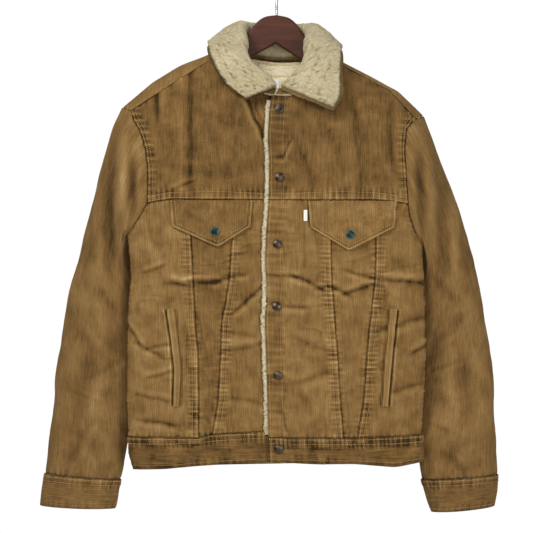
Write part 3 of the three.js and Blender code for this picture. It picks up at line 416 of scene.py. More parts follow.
def overShoulder(x, reach):
    # The body's face followed over the shoulder; reach is measured from its top line, minus in front.
    quarter = shoulderRadius * math.pi / 2
    far = np.abs(reach)
    drop = shoulderRadius * (1 - np.cos(np.minimum(far, quarter) / shoulderRadius)) + np.maximum(0, far - quarter)
    z = shoulderLine(x) - drop
    y = np.where(reach < 0, faceY("front", x, z), faceY("back", x, z)) - faceGap * np.sign(reach)
    return np.stack([x + 0 * reach, y, z], axis=-1)


# Folds and creases

# Creases of the front: from and to in the photograph's pixels, half width and depth in millimetres
frontCreases = [
    (174, 284, 215, 282, 7, 2.8), (215, 282, 241, 275, 6, 2.4), (231, 256, 244, 254, 4, 1.5),
    (235, 310, 261, 287, 6, 2.4), (128, 328, 138, 344, 6, 1.9), (138, 344, 161, 355, 6, 1.7),
    (147, 271, 162, 266, 5, 1.8), (148, 348, 168, 345, 5, 1.6), (150, 377, 169, 372, 5, 1.7),
    (142, 420, 172, 424, 6, 1.8), (268, 274, 295, 276, 5, 2.0), (295, 276, 319, 288, 6, 2.4),
    (319, 288, 331, 287, 6, 2.2), (331, 287, 345, 294, 6, 2.2), (345, 294, 374, 284, 6, 2.4),
    (348, 271, 372, 278, 5, 1.7), (372, 278, 425, 282, 7, 2.4), (267, 303, 301, 306, 6, 2.0),
    (415, 352, 426, 345, 6, 2.2), (277, 170, 289, 146, 3.5, 2.2), (172, 190, 192, 183, 4, 1.4),
    (191, 80, 191, 185, 13, 2.8), (157, 92, 157, 116, 8, 2.2), (246, 100, 264, 138, 5, 2.6),
    (255, 100, 260, 119, 3.5, 1.4), (286, 445, 325, 448, 4, 1.2), (325, 448, 359, 445, 4, 1.2),
    (359, 445, 417, 446, 4, 1.2), (152, 445, 199, 444, 4, 1.2), (279, 404, 288, 428, 4, 1.5),
    (300, 150, 318, 196, 12, 1.6), (355, 120, 362, 190, 14, 1.8), (390, 110, 392, 160, 10, 1.8),
    (225, 330, 250, 335, 9, 1.6), (300, 340, 330, 352, 10, 1.6), (380, 330, 420, 318, 8, 1.8),
    (185, 330, 196, 420, 9, 1.5), (300, 380, 330, 372, 9, 1.4), (140, 395, 165, 400, 7, 1.6),
    (395, 390, 422, 384, 8, 1.8), (228, 350, 262, 344, 8, 1.6), (222, 395, 262, 402, 8, 1.4),
]
# Broad soft folds: middle, half length, half width, slope and height, in millimetres
frontFolds = [
    (-112, -513, 75, 22, 0.12, 3.2), (-118, -545, 85, 20, 0.1, -2.4), (-210, -600, 45, 26, -0.45, -2.6),
    (105, -518, 60, 22, -0.1, 3.0), (150, -508, 90, 24, -0.15, -2.2), (75, -660, 45, 30, 0.5, 1.8),
    (-60, -690, 60, 30, -0.4, 2.2), (190, -680, 55, 32, 0.3, 2.4),
]
backFolds = [
    (-90, -470, 95, 34, 0.22, 3.4), (110, -440, 90, 30, -0.25, 3.0), (20, -560, 120, 30, 0.08, -3.0),
    (-150, -620, 70, 30, -0.2, 2.8), (140, -650, 80, 32, 0.15, -2.6),
]
# Creases of the back, as the front's but in millimetres: the photograph hides them
backCreases = [
    (-150, -400, -60, -440, 8, 2.4), (40, -420, 150, -395, 8, 2.4), (-205, -470, -120, -500, 7, 2.4),
    (120, -500, 205, -470, 7, 2.4), (-60, -520, 40, -535, 8, 2.2), (-170, -560, -90, -590, 8, 2.0),
    (60, -600, 160, -585, 8, 2.2), (-40, -650, 60, -640, 8, 2.0), (-200, -680, -130, -700, 8, 2.0),
    (120, -700, 200, -715, 8, 2.0), (-90, -200, -70, -300, 12, 2.0), (80, -210, 70, -300, 12, 2.0),
    (-150, -240, -120, -320, 10, 1.8), (150, -250, 120, -325, 10, 1.8),
]

# Welts of the side pockets: height, middle and width, and the side of the opening
weltRows = {
    "left": [(-557, -169.5, 13), (-612, -162, 12), (-656, -157.5, 11.5), (-714, -160, 10)],
    "right": [(-559, 188, 13), (-604, 183.5, 12), (-656, 178.5, 11.5), (-714, 174.5, 10)],
}
weltTop, weltBottom = -557, -714
weltSettings = {
    name: {"middle": curve(rows, 1, 8), "width": curve(rows, 2, 6), "open": sides[name]["sign"]}
    for name, rows in weltRows.items()}
slitReach = 5.4  # from the welt's open edge to the stitches beside it


def foldField(side, x, z):
    # Height of the broad folds and creases, and how far they pale (+) or darken (-) the cloth: painted highlight on
    # the ridges, painted shade in the troughs.
    height, tone = np.zeros_like(x), np.zeros_like(x)
    for midX, midZ, length, width, slope, top in (frontFolds if side == "front" else backFolds):
        turn = math.atan(slope)
        along = (x - midX) * math.cos(turn) + (z - midZ) * math.sin(turn)
        across = (z - midZ) * math.cos(turn) - (x - midX) * math.sin(turn)
        height += top * np.exp(-(along / length) ** 2 - (across / width) ** 2)
    creases = backCreases
    if side == "front":
        creases = [(*fromPhoto(a, b), *fromPhoto(c, d), width, depth) for a, b, c, d, width, depth in frontCreases]
    for index, (startX, startZ, endX, endZ, width, depth) in enumerate(creases):
        longX, longZ = endX - startX, endZ - startZ
        length = math.hypot(longX, longZ)
        along = ((x - startX) * longX + (z - startZ) * longZ) / length
        across = ((x - startX) * longZ - (z - startZ) * longX) / length
        across = across + 2.2 * softNoise(along / 17, np.full_like(x, index * 1.7), 31)
        beyond = np.maximum(0, np.maximum(-along, along - length)) / (1.6 * width)
        fade = np.exp(-beyond ** 2)
        ridgeSide = 1 if index % 2 else -1
        sharp = min(1.0, 7 / width)  # broad ones stay soft
        trough = np.exp(-np.abs(across / (0.42 * width)) ** 1.5)
        ridge = bell(across - ridgeSide * 1.25 * width, 0.75 * width)
        height += depth * fade * (0.75 * ridge - 1.2 * trough)
        tone += depth * fade * sharp * (0.07 * ridge - 0.13 * trough)
    if side == "front":
        for welt in weltSettings.values():
            far = welt["open"] * (x - welt["middle"](z)) - welt["width"](z) / 2
            within = smoothstep(z, weltBottom, weltBottom + 3) * (1 - smoothstep(z, weltTop - 3, weltTop))
            height -= 1.5 * within * bell(far - 1.2, 1.8)
            # Painted shade darkens the welt's open slit and the cloth beside its shut side, and a pale line runs
            # along the stitches.
            tone += within * (0.3 * bell(far - slitReach, 1.0) - 0.5 * bell(far - 1.4, 1.9))
            inside = -far - welt["width"](z)
            tone -= 0.2 * within * bell(inside - 1.5, 1.6)
    # Fine wrinkles: thin lines where a soft noise changes sign, stronger in patches, with painted shade in the lines
    # and painted highlight beside them
    seed = 301 if side == "front" else 331
    low = smoothstep(-z, 380, 450)
    for scaleX, scaleZ, deep, kind in ((46, 17, 1.1, 0), (30, 24, 0.8, 1), (18, 60, 0.7, 2)):
        field = softNoise(x / scaleX + 0.4 * z / scaleZ * (kind - 1), z / scaleZ, seed + kind)
        patch = smoothstep(softNoise(x / 60, z / 50, seed + 10 + kind), -0.1, 0.55)
        line = bell(field, 0.11) * patch * (0.35 + 0.65 * low)
        beside = bell(field - 0.26, 0.14) * patch * (0.35 + 0.65 * low)
        height += deep * (0.4 * beside - 0.65 * line)
        tone += 0.06 * beside - 0.09 * line
    return height, tone


# How an edge is sewn: height of its lap, the lap's width, its rows of stitches and its puckers
seamStyles = {
    "lap": {"raise": 0.9, "width": 10.6, "rows": (1.9, 8.8), "pucker": 1.3, "pitch": 7.4},
    "armLap": {"raise": 0.8, "width": 9.0, "rows": (1.9, 7.2), "pucker": 1.1, "pitch": 10.5},
    "wideLap": {"raise": 0.8, "width": 13.6, "rows": (1.9, 12.0), "pucker": 1.0, "pitch": 8.6},
    "placket": {"raise": 0.5, "width": 25.5, "rows": (4.2, 24.0), "pucker": 0.45, "pitch": 12.0},
    "single": {"raise": 0.4, "width": 3.4, "rows": (1.9,), "pucker": 0.4, "pitch": 9.0},
    "hem": {"raise": 0.3, "width": 7.5, "rows": (5.6,), "pucker": 0.5, "pitch": 11.0},
    "under": {"raise": -0.2, "width": 1.6, "rows": (), "pucker": 0.6, "pitch": 9.2},
    "none": {"raise": 0.0, "width": 1.0, "rows": (), "pucker": 0.0},
}


def edgePlaces(style):
    s = seamStyles[style]
    places = {0, 0.8, s["width"] - 0.8, s["width"] + 0.9, s["width"] + 3}
    for row in s["rows"]:
        places |= {row - 1.1, row, row + 1.1}
    return sorted(p for p in places if p >= 0)


sewing = {
    "valley": 0.5, "valleyShade": 0.4, "wornAndHighlit": 0.24, "rowDepth": 0.42, "rowShade": 0.16,
    "puckerReach": 6.5, "puckerShade": 0.24, "wander": 1.9, "rung": 0.62, "crumple": 0.5,
}


def edgeRelief(style, far, along, seed):
    # Height and shade of the cloth near one sewn edge, `far` from it.
    s = seamStyles[style]
    height = s["raise"] * (1 - smoothstep(far, s["width"] - 0.8, s["width"] + 0.8))
    height = height - sewing["valley"] * bell(far, 0.8)
    uneven = 0.75 + 0.45 * softNoise(along / 26, 0.3 + 0 * far, seed + 5)
    tone = -sewing["valleyShade"] * uneven * bell(far, 1.1)
    # The raised lap's edge is drawn paler, as wear and painted highlight.
    tone = tone + sewing["wornAndHighlit"] * bell(far - 1.9, 1.1) * (s["raise"] > 0)
    for row in s["rows"]:
        height -= sewing["rowDepth"] * bell(far - row, 1.0)
        tone -= sewing["rowShade"] * bell(far - row, 1.1)
    if s["pucker"]:
        turn = 2 * np.pi * along / s["pitch"] + sewing["wander"] * softNoise(along / 21, far / 40, seed)
        rung = sewing["rung"] * (np.sin(turn) - 0.35 * np.cos(2 * turn))
        rung = rung * (0.75 + 0.5 * softNoise(along / 30, 0.5 + 0 * far, seed + 2))
        ripple = rung + sewing["crumple"] * softNoise(along / 5.5, far / 24, seed + 1)
        ripple = s["pucker"] * ripple * bell(np.maximum(0, far - s["width"]), sewing["puckerReach"])
        height += ripple
        tone += sewing["puckerShade"] * ripple
    return height, tone


# Building meshes

stitchLines = []  # (points, normals) along each row of stitches, in millimetres


def meshObject(bm, name, *materials):
    mesh = bpy.data.meshes.new(name)
    bm.to_mesh(mesh)
    bm.free()
    for material in materials:
        mesh.materials.append(material)
    made = bpy.data.objects.new(name, mesh)
    bpy.context.scene.collection.objects.link(made)
    return made


def gridPiece(name, points, normals, uvs, tone, material, inner=None, thickness=1.0, closed=False):
    # One grid of bmesh.ops, its vertices laid on the given places; Solidify gives the cloth's thickness.
    rows, columns = points.shape[:2]
    bm = bmesh.new()
    bmesh.ops.create_grid(bm, x_segments=columns - 1, y_segments=rows - 1, size=0.5)
    toneLayer = bm.verts.layers.float.new("tone")
    uvLayer = bm.loops.layers.uv.new("UVMap")
    flatPoints = (points * millimetre).reshape(-1, 3).tolist()
    flatTone = np.broadcast_to(tone, (rows, columns)).ravel().tolist()
    flatUvs = (uvs * millimetre).reshape(-1, 2).tolist()
    for index, vert in enumerate(bm.verts):
        vert.co = flatPoints[index]
        vert[toneLayer] = flatTone[index]
    for face in bm.faces:
        face.smooth = True
        for loop in face.loops:
            loop[uvLayer].uv = flatUvs[loop.vert.index]
    bm.faces.ensure_lookup_table()
    middle = bm.faces[(rows // 2) * (columns - 1) + columns // 2]
    middle.normal_update()
    if middle.normal.dot(Vector(normals[rows // 2, columns // 2])) < 0:
        bmesh.ops.reverse_faces(bm, faces=bm.faces[:])
    if closed:
        bmesh.ops.remove_doubles(bm, verts=bm.verts[:], dist=1e-6)
    piece = meshObject(bm, name, material, inner or material)
    wall = piece.modifiers.new("thickness", "SOLIDIFY")
    wall.thickness, wall.offset, wall.material_offset = thickness * millimetre, -1, 1
    return piece


def dress(piece, node):
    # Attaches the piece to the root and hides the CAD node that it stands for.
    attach(piece, "root")
    if node:
        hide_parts(node)


edgeNames = ("left", "right", "top", "bottom")


def addStitchLines(points, normals, style, edge):
    # The rows of stitches of one sewn edge are columns or rows of the grid itself.
    places = edgePlaces(style)
    for row in seamStyles[style]["rows"]:
        k = places.index(row)
        line = {"left": np.s_[:, k], "right": np.s_[:, -1 - k], "top": np.s_[k], "bottom": np.s_[-1 - k]}[edge]
        stitchLines.append((points[line], normals[line]))


seedCount = [100]


def nextSeed():
    seedCount[0] += 7
    return seedCount[0]


panelSettings = {
    "relaxSteps": 40, "relaxShare": 0.4, "denseColumns": 260, "settleBy": 0.3, "topSteps": range(-32, 33, 8),
    "chestShade": 0.09, "hemShade": 0.06,
}


def bodyPanel(side, left, right, top, bottom, edges, lift=None, spacing=3.4):
    # A panel between two seams given as x at a height and two given as height at an x.
    s = panelSettings
    leftPlaces, rightPlaces, topPlaces, bottomPlaces = (edgePlaces(edges[e]) for e in edgeNames)
    middleX = (left(np.array(-500.0)) + right(np.array(-500.0))) / 2
    height = float(top(middleX) - bottom(middleX))
    down = spacedShares(height, spacing, topPlaces, bottomPlaces)
    share = (down / height)[:, None]
    across = ((1 - np.cos(np.pi * np.linspace(0, 1, s["denseColumns"]))) / 2)[None, :]
    z = blend(top(middleX), bottom(middleX), share) + 0 * across
    topMean = lambda at: sum(top(at + step) for step in s["topSteps"]) / len(s["topSteps"])
    settle = smoothstep(share, 0, s["settleBy"])
    x = blend(left(z), right(z), across)
    for _ in range(s["relaxSteps"]):
        x = blend(x, blend(left(z), right(z), across), s["relaxShare"])
        z = blend(z, blend(blend(top(x), topMean(x), settle), bottom(x), share), s["relaxShare"])

    # Columns keep their distances from both side seams, so the seams' stitches run straight
    dense = np.stack([x, faceY(side, x, z), z], axis=-1)
    arc = arcAlong(dense, 1)
    usual = float(np.median(arc[:, -1]))
    places = spacedShares(usual, spacing, leftPlaces, rightPlaces)
    nearLeft, nearRight = len(leftPlaces), len(rightPlaces)
    leftMost, rightMost = leftPlaces[-1], rightPlaces[-1]
    points = np.zeros((len(down), len(places), 3))
    for j in range(len(down)):
        total = arc[j, -1]
        room = min(1.0, total / (1.25 * (leftMost + rightMost)))
        start, end = leftMost * room, total - rightMost * room
        at = start + (places - leftMost) / (usual - rightMost - leftMost) * (end - start)
        at[:nearLeft] = places[:nearLeft] * room
        at[-nearRight:] = total - (usual - places[-nearRight:]) * room
        points[j] = np.stack([np.interp(at, arc[j], dense[j, :, axis]) for axis in range(3)], axis=-1)
    x, z = points[..., 0], points[..., 2]
    normals = gridNormals(points)
    if np.mean(normals[..., 1]) * (-1 if side == "front" else 1) < 0:
        normals = -normals
    if lift is not None:
        points = points + normals * lift(x)[..., None]

    height, tone = foldField(side, x, z)
    tone = tone + 0.5
    # Painted shade darkens the upper chest and the hem band.
    if side == "front":
        tone = tone - s["chestShade"] * smoothstep(z, -400, -330) - s["hemShade"] * smoothstep(-z, 752, 765)
    height += 1.3 * softNoise(x / 55, z / 60, 12 if side == "back" else 11)
    height += 0.5 * softNoise(x / 16, z / 13, 17) + 0.2 * softNoise(x / 7, z / 6, 23)
    # The tone follows the small bumps above, as painted light and shade.
    tone += 0.05 * softNoise(x / 16, z / 13, 17)
    fromLeft, fromTop = arcAlong(points, 1), arcAlong(points, 0)
    fars = (fromLeft, fromLeft[:, -1:] - fromLeft, fromTop, fromTop[-1:] - fromTop)
    seed = nextSeed()
    for edge, far, along in zip(edgeNames, fars, (z, z, x, x)):
        seed += 3
        more, shade = edgeRelief(edges[edge], far, along, seed)
        height += more
        tone += shade
    surface = points + normals * height[..., None]
    outNormals = facing(surface, normals)
    for edge in edgeNames:
        addStitchLines(surface, outNormals, edges[edge], edge)
    centreX = (bodyEdge["left"](z) + bodyEdge["right"](z)) / 2
    halfWidth = (bodyEdge["right"](z) - bodyEdge["left"](z)) / 2
    wrap = np.interp(np.abs(x - centreX) / halfWidth, wrapShares, wrapExtra)
    return surface, outNormals, pair(x + np.sign(x) * wrap, z), tone


# How much longer the cloth is than its x as it wraps to the side, on an average section
wrapShares = np.linspace(0, 1, 200)
sectionDepth = 36 * (1 - wrapShares ** sideSquareness) ** (1 / sideSquareness)
wrapExtra = arcAlong(np.stack([240 * wrapShares, sectionDepth], axis=-1), 0) - 240 * wrapShares


def seamLine(reader, shift):
    return lambda at: reader(at) + shift


# How much darker each piece is drawn than the palest
darker = {
    "front_chest_left": 0.07, "front_chest_right": 0.05, "front_slant_left": 0.1, "front_slant_right": 0.03,
    "front_centre_left": 0.04, "front_side_right": 0.04, "hem_band_front_left": 0.12, "hem_band_front_right": 0.12,
    "hem_band_back": 0.08, "cuff_left": 0.04, "cuff_right": 0.12, "pocket_flap_left": 0.1, "pocket_flap_right": 0.01,
}


def sewPanel(node, side, seams, styles, lift=None, spacing=3.4, thickness=clothThickness, turned=False):
    # `seams` and `styles` go left, right, top, bottom.
    surface, normals, uvs, tone = bodyPanel(side, *seams, dict(zip(edgeNames, styles)), lift, spacing)
    uvs = uvs[..., ::-1] if turned else uvs
    piece = gridPiece(f"{node}_cloth", surface, normals, uvs, tone - darker.get(node, 0), corduroy, liningPileWithPaintedLight,
                      thickness)
    dress(piece, node)


# Fronts: chest, side, slanted middle and centre pieces; sizes are the cut's, in millimetres
frontSpacing = 2.5
frontPieces = {
    "chest": {"edges": ("armLap", "none", "under", "wideLap"), "left": (266, 226, 0.74), "right": (262, 226, 0.74)},
    "side": {"edges": ("under", "lap", "under", "under"), "left": (124, 386, 0.88), "right": (110, 382, 0.88)},
    "slant": {"edges": ("under", "under", "under", "under"), "left": (70, 384, 0.7), "right": (75, 384, 0.7)},
    "centre": {"edges": ("lap", "none", "under", "under"), "left": (124, 380, 0.88), "right": (122, 384, 0.88)},
}
for name, side in sides.items():
    gap = side["sign"] * seamGap
    seams = styleSeam[name]
    armSide = seamLine(bodySide(name), -gap)
    below = seamLine(chestSeam[name], -2 * seamGap)
    band = seamLine(bandSeam[name], seamGap)
    spans = {
        "chest": (armSide, seams["edge"], seamLine(frontTop, -seamGap), chestSeam[name]),
        "side": (armSide, seamLine(seams["outer"], gap), below, band),
        "slant": (seamLine(seams["outer"], -gap), seamLine(seams["inner"], gap), below, band),
        "centre": (seamLine(seams["inner"], -gap), seams["edge"], below, band),
    }
    for label, (outerSeam, innerSeam, top, bottom) in spans.items():
        outerStyle, innerStyle, topStyle, bottomStyle = frontPieces[label]["edges"]
        laps = name == "right" and label in ("chest", "centre")
        ends = [(outerSeam, outerStyle), (innerSeam, "placket" if laps else innerStyle)]
        (left, leftStyle), (right, rightStyle) = ends if name == "left" else ends[::-1]
        sewPanel(f"front_{label}_{name}", "front", (left, right, top, bottom),
                 (leftStyle, rightStyle, topStyle, bottomStyle),
                 lapLift if laps else None, frontSpacing)
print("fronts made")

# Hem band, front and back: folded cloth, a little thicker than the panels
bandRise = 0.5
bandPieces = {
    "left": ("front", (bodyEdge["left"], styleSeam["left"]["edge"]), "single", (272, 54, 0.91), lambda x: 0 * x),
    "right": ("front", (frontEdge, bodyEdge["right"]), "single", (262, 50, 0.89), lapLift),
    "back": ("back", (bodyEdge["left"], bodyEdge["right"]), "under", (520, 54, 0.92), lambda x: 0 * x),
}
for name, (side, ends, endStyle, cut, lift) in bandPieces.items():
    node = "hem_band_back" if name == "back" else f"hem_band_front_{name}"
    seams = (*ends, seamLine(bandSeam[name], -seamGap), hemLine[name])
    sewPanel(node, side, seams, (endStyle, endStyle, "lap", "hem"), seamLine(lift, bandRise),
             thickness=bandThickness, turned=True)

# Back below the yoke
backLeft, backRight = backStyle["left"], backStyle["right"]
backPieces = {
    "side_left": ((seamLine(bodySide("left"), seamGap), seamLine(backLeft, -seamGap)), "under", (188, 444, 0.8)),
    "side_right": ((seamLine(backRight, seamGap), seamLine(bodySide("right"), -seamGap)), "under", (184, 428, 0.82)),
    "centre": ((seamLine(backLeft, seamGap), seamLine(backRight, -seamGap)), "lap", (238, 433, 0.79)),
}
for label, (ends, endStyle, cut) in backPieces.items():
    seams = (*ends, seamLine(backYokeSeam, -seamGap), seamLine(bandSeam["back"], seamGap))
    sewPanel(f"back_{label}", "back", seams, (endStyle, endStyle, "under", "under"))
print("back and bands made")

# Yoke: from the front shoulder seams over the shoulders, round the neck and down to the back seam
yokeSettings = {"flat": (560, 296), "area": 0.62, "length": 215}
neckStart = curve([
    (-80.5, -12), (-78, 4), (-70, 17), (-50, 29), (-25, 34), (0, 36), (25, 34), (50, 29), (68, 17), (76, 4),
    (78.5, -12)])


def yokeStart(x):
    # Where the yoke begins: the front shoulder seam, or the back neckline between the shoulders.
    shoulder = -reachAt(x, frontTop(x) + seamGap)
    return np.where((x > -80.5) & (x < 78.5), neckStart(x), shoulder)


lapPlaces = tuple(place / yokeSettings["length"] for place in edgePlaces("lap"))
yokeDown = spacedShares(1.0, 0.016, (0, 0.004, 0.01, 0.02), lapPlaces)[:, None]
yokeEnd = lambda x: reachAt(x, backYokeSeam(x) + seamGap)
ends = {}
for name, side in sides.items():
    x = np.full_like(yokeDown, armhole[name](side["tipZ"] - 30.0))
    for _ in range(30):
        reach = blend(yokeStart(x), yokeEnd(x), yokeDown)
        target = armhole[name](overShoulder(x, reach)[..., 2]) - side["sign"] * seamGap
        x = blend(x, target, 0.5)
    ends[name] = x
acrossShare = spacedShares(1.0, 0.0075, (0.002, 0.005), (0.002, 0.005))[None, :]
yokeX = blend(ends["left"], ends["right"], acrossShare)
yokeReach = blend(yokeStart(yokeX), yokeEnd(yokeX), yokeDown)
points = overShoulder(yokeX, yokeReach)
normals = gridNormals(points)
normals *= np.sign(normals[len(normals) // 2, normals.shape[1] // 2, 1])
backPart = smoothstep(yokeReach, 10, 60)
height, tone = foldField("back", points[..., 0], points[..., 2])
height, tone = height * backPart, 0.5 + tone * backPart
yokeAcross = points[..., 0]
height += 0.6 * softNoise(yokeAcross / 40, yokeReach / 40, 51) + 0.25 * softNoise(yokeAcross / 14, yokeReach / 12, 52)
for style, far in (("lap", yokeEnd(yokeX) - yokeReach), ("single", yokeReach - yokeStart(yokeX))):
    more, shade = edgeRelief(style, far, yokeAcross, nextSeed())
    height, tone = height + more, tone + shade
surface = points + normals * height[..., None]
normals = facing(surface, normals)
for row in seamStyles["lap"]["rows"]:
    k = -1 - edgePlaces("lap").index(row)
    stitchLines.append((surface[k], normals[k]))
piece = gridPiece("back_yoke_cloth", surface, normals, pair(yokeAcross, yokeReach), tone,
                  corduroy, liningPileWithPaintedLight, clothThickness)
dress(piece, "back_yoke")
print("yoke made")

# Sleeves and cuffs: rings as in the CAD source: outer x and z, inner x and z, middle, half depth, follow
sleeveRings = {
    "left": [
        (-264, -255, -244.5, -450, -6, 38, 0.8), (-275.5, -292, -246, -465, 0, 41, 0.5),
        (-287.5, -332, -243.5, -488, 8, 43, 0.25), (-298.5, -376, -238, -517, 14, 43, 0.08),
        (-311.5, -426, -235, -551, 17, 42, 0), (-327, -486, -234.5, -592, 17, 42, 0),
        (-341, -543, -234.5, -635, 17, 41, 0), (-352.5, -608, -234.5, -682, 16, 40, 0),
        (-361, -669, -235, -729, 15, 39, 0), (-367.5, -734, -241.5, -775, 12, 37, 0),
        (-373.5, -789, -249.5, -812, 10, 35, 0), (-377, -826.7, -255.5, -836.7, 8, 33.8, 0)],
    "right": [
        (253, -274, 240, -461, -6, 38, 0.8), (266, -308, 242, -477, 0, 41, 0.5),
        (281.5, -347, 241, -499, 8, 43, 0.25), (298, -389, 237, -527, 14, 43, 0.08),
        (312.5, -430, 234.5, -559, 17, 42, 0), (328, -486, 234, -598, 17, 42, 0),
        (338.5, -543, 234, -640, 17, 41, 0), (348.5, -608, 233.5, -685, 16, 40, 0),
        (358, -672, 232, -731, 15, 39, 0), (359, -737, 232, -776, 12, 37, 0),
        (360.5, -792, 236, -813, 10, 35, 0), (362.5, -828.7, 239.5, -836.7, 8, 33.8, 0)],
}
cuffRings = {
    "left": [(-379, -827, -254, -837, 8, 35.5), (-384, -853, -257.5, -861, 7, 36), (-386.5, -879, -263, -884, 6, 35)],
    "right": [(364, -829, 238, -837, 8, 35.5), (363, -855, 245, -864, 7, 36), (358, -880, 255, -890, 6, 35)],
}
# Long folds down each sleeve: top x and z, end x and z, width and depth
sleeveFolds = {
    "left": [
        (-233, -290, -231, -408, 9, 7), (-266, -235, -270, -500, 12, 7), (-300, -620, -336, -760, 16, 4),
        (-262, -560, -268, -700, 14, 4), (-222, -255, -218, -330, 7, 3), (-252, -400, -250, -450, 8, 2.4),
        (-339, -810, -297, -739, 9, 3), (-262, -812, -243, -795, 8, 2), (-300, -420, -318, -520, 13, 2.4),
        (-290, -520, -262, -560, 10, 2.2), (-318, -590, -285, -640, 11, 2.2), (-252, -640, -300, -672, 11, 2.2),
        (-330, -690, -300, -705, 9, 1.8)],
    "right": [
        (230, -300, 240, -430, 10, 5.5), (262, -290, 276, -520, 13, 5.5), (292, -600, 322, -740, 16, 4),
        (258, -580, 262, -720, 14, 4), (280, -792, 303, -822, 9, 3), (300, -430, 318, -520, 13, 2.4),
        (250, -500, 290, -545, 11, 2.2), (310, -560, 270, -610, 11, 2.2), (256, -660, 300, -640, 11, 2.2),
        (330, -660, 345, -700, 10, 2.0), (250, -740, 290, -765, 10, 2.0)],
}


def sleeveFoldDepth(folds, x, z):
    # How far the folds sink, and how they shade the cloth.
    depth, shade = np.zeros_like(x), np.zeros_like(x)
    for topX, topZ, endX, endZ, width, most in folds:
        along = (z - topZ) / (endZ - topZ)
        across = (x - blend(topX, endX, along)) / width + 0.5 * softNoise(along * 3, 0.5 + 0 * x, int(abs(topX)))
        fade = np.exp(-(2 * along - 1) ** 4)
        trough, ridge = np.exp(-across ** 2), np.exp(-(across - 1.7) ** 2)
        depth += most * fade * (trough - 0.5 * ridge)
        shade += most * fade * (0.028 * ridge - 0.05 * trough)
    return depth, shade


def clearOfBody(name, at, slack):
    # Keeps the sleeve beyond the armhole seam, or below the pit beyond the body's own side.
    sign, pitZ = sides[name]["sign"], sides[name]["pitZ"]
    x, y, z = at[..., 0], at[..., 1], at[..., 2]
    left, right = bodyEdge["left"](z), bodyEdge["right"](z)
    reach = np.where(y < sideDepth(z), faceDepth["front"](z), faceDepth["back"](z)) - sideDepth(z)
    share = np.minimum(1, np.abs((y - sideDepth(z)) / reach))
    width = (1 - share ** sideSquareness) ** (1 / sideSquareness)
    beside = (left + right) / 2 + sign * (width * (right - left) / 2 + slack)
    limit = np.where(z > pitZ, armhole[name](z) + sign * slack, beside)
    at[..., 0] = np.where((x - limit) * sign < 0, limit, x)
    return at


def ringPoints(ring, angles):
    outX, outZ, inX, inZ, middle, depth = ring[:6]
    inner = (1 - np.cos(angles)) / 2
    return np.stack([blend(outX, inX, inner), middle - depth * np.sin(angles), blend(outZ, inZ, inner)], axis=-1)


def armholeLevel(side, index):
    # Share of the way from shoulder tip to pit: 3 is the elbow seam's, -2 the underarm seam's.
    chest = (side["tipZ"] - side["chestZ"]) / (side["tipZ"] - side["pitZ"])
    return 0.2 if index == 3 else blend(chest, 1, 0.82)


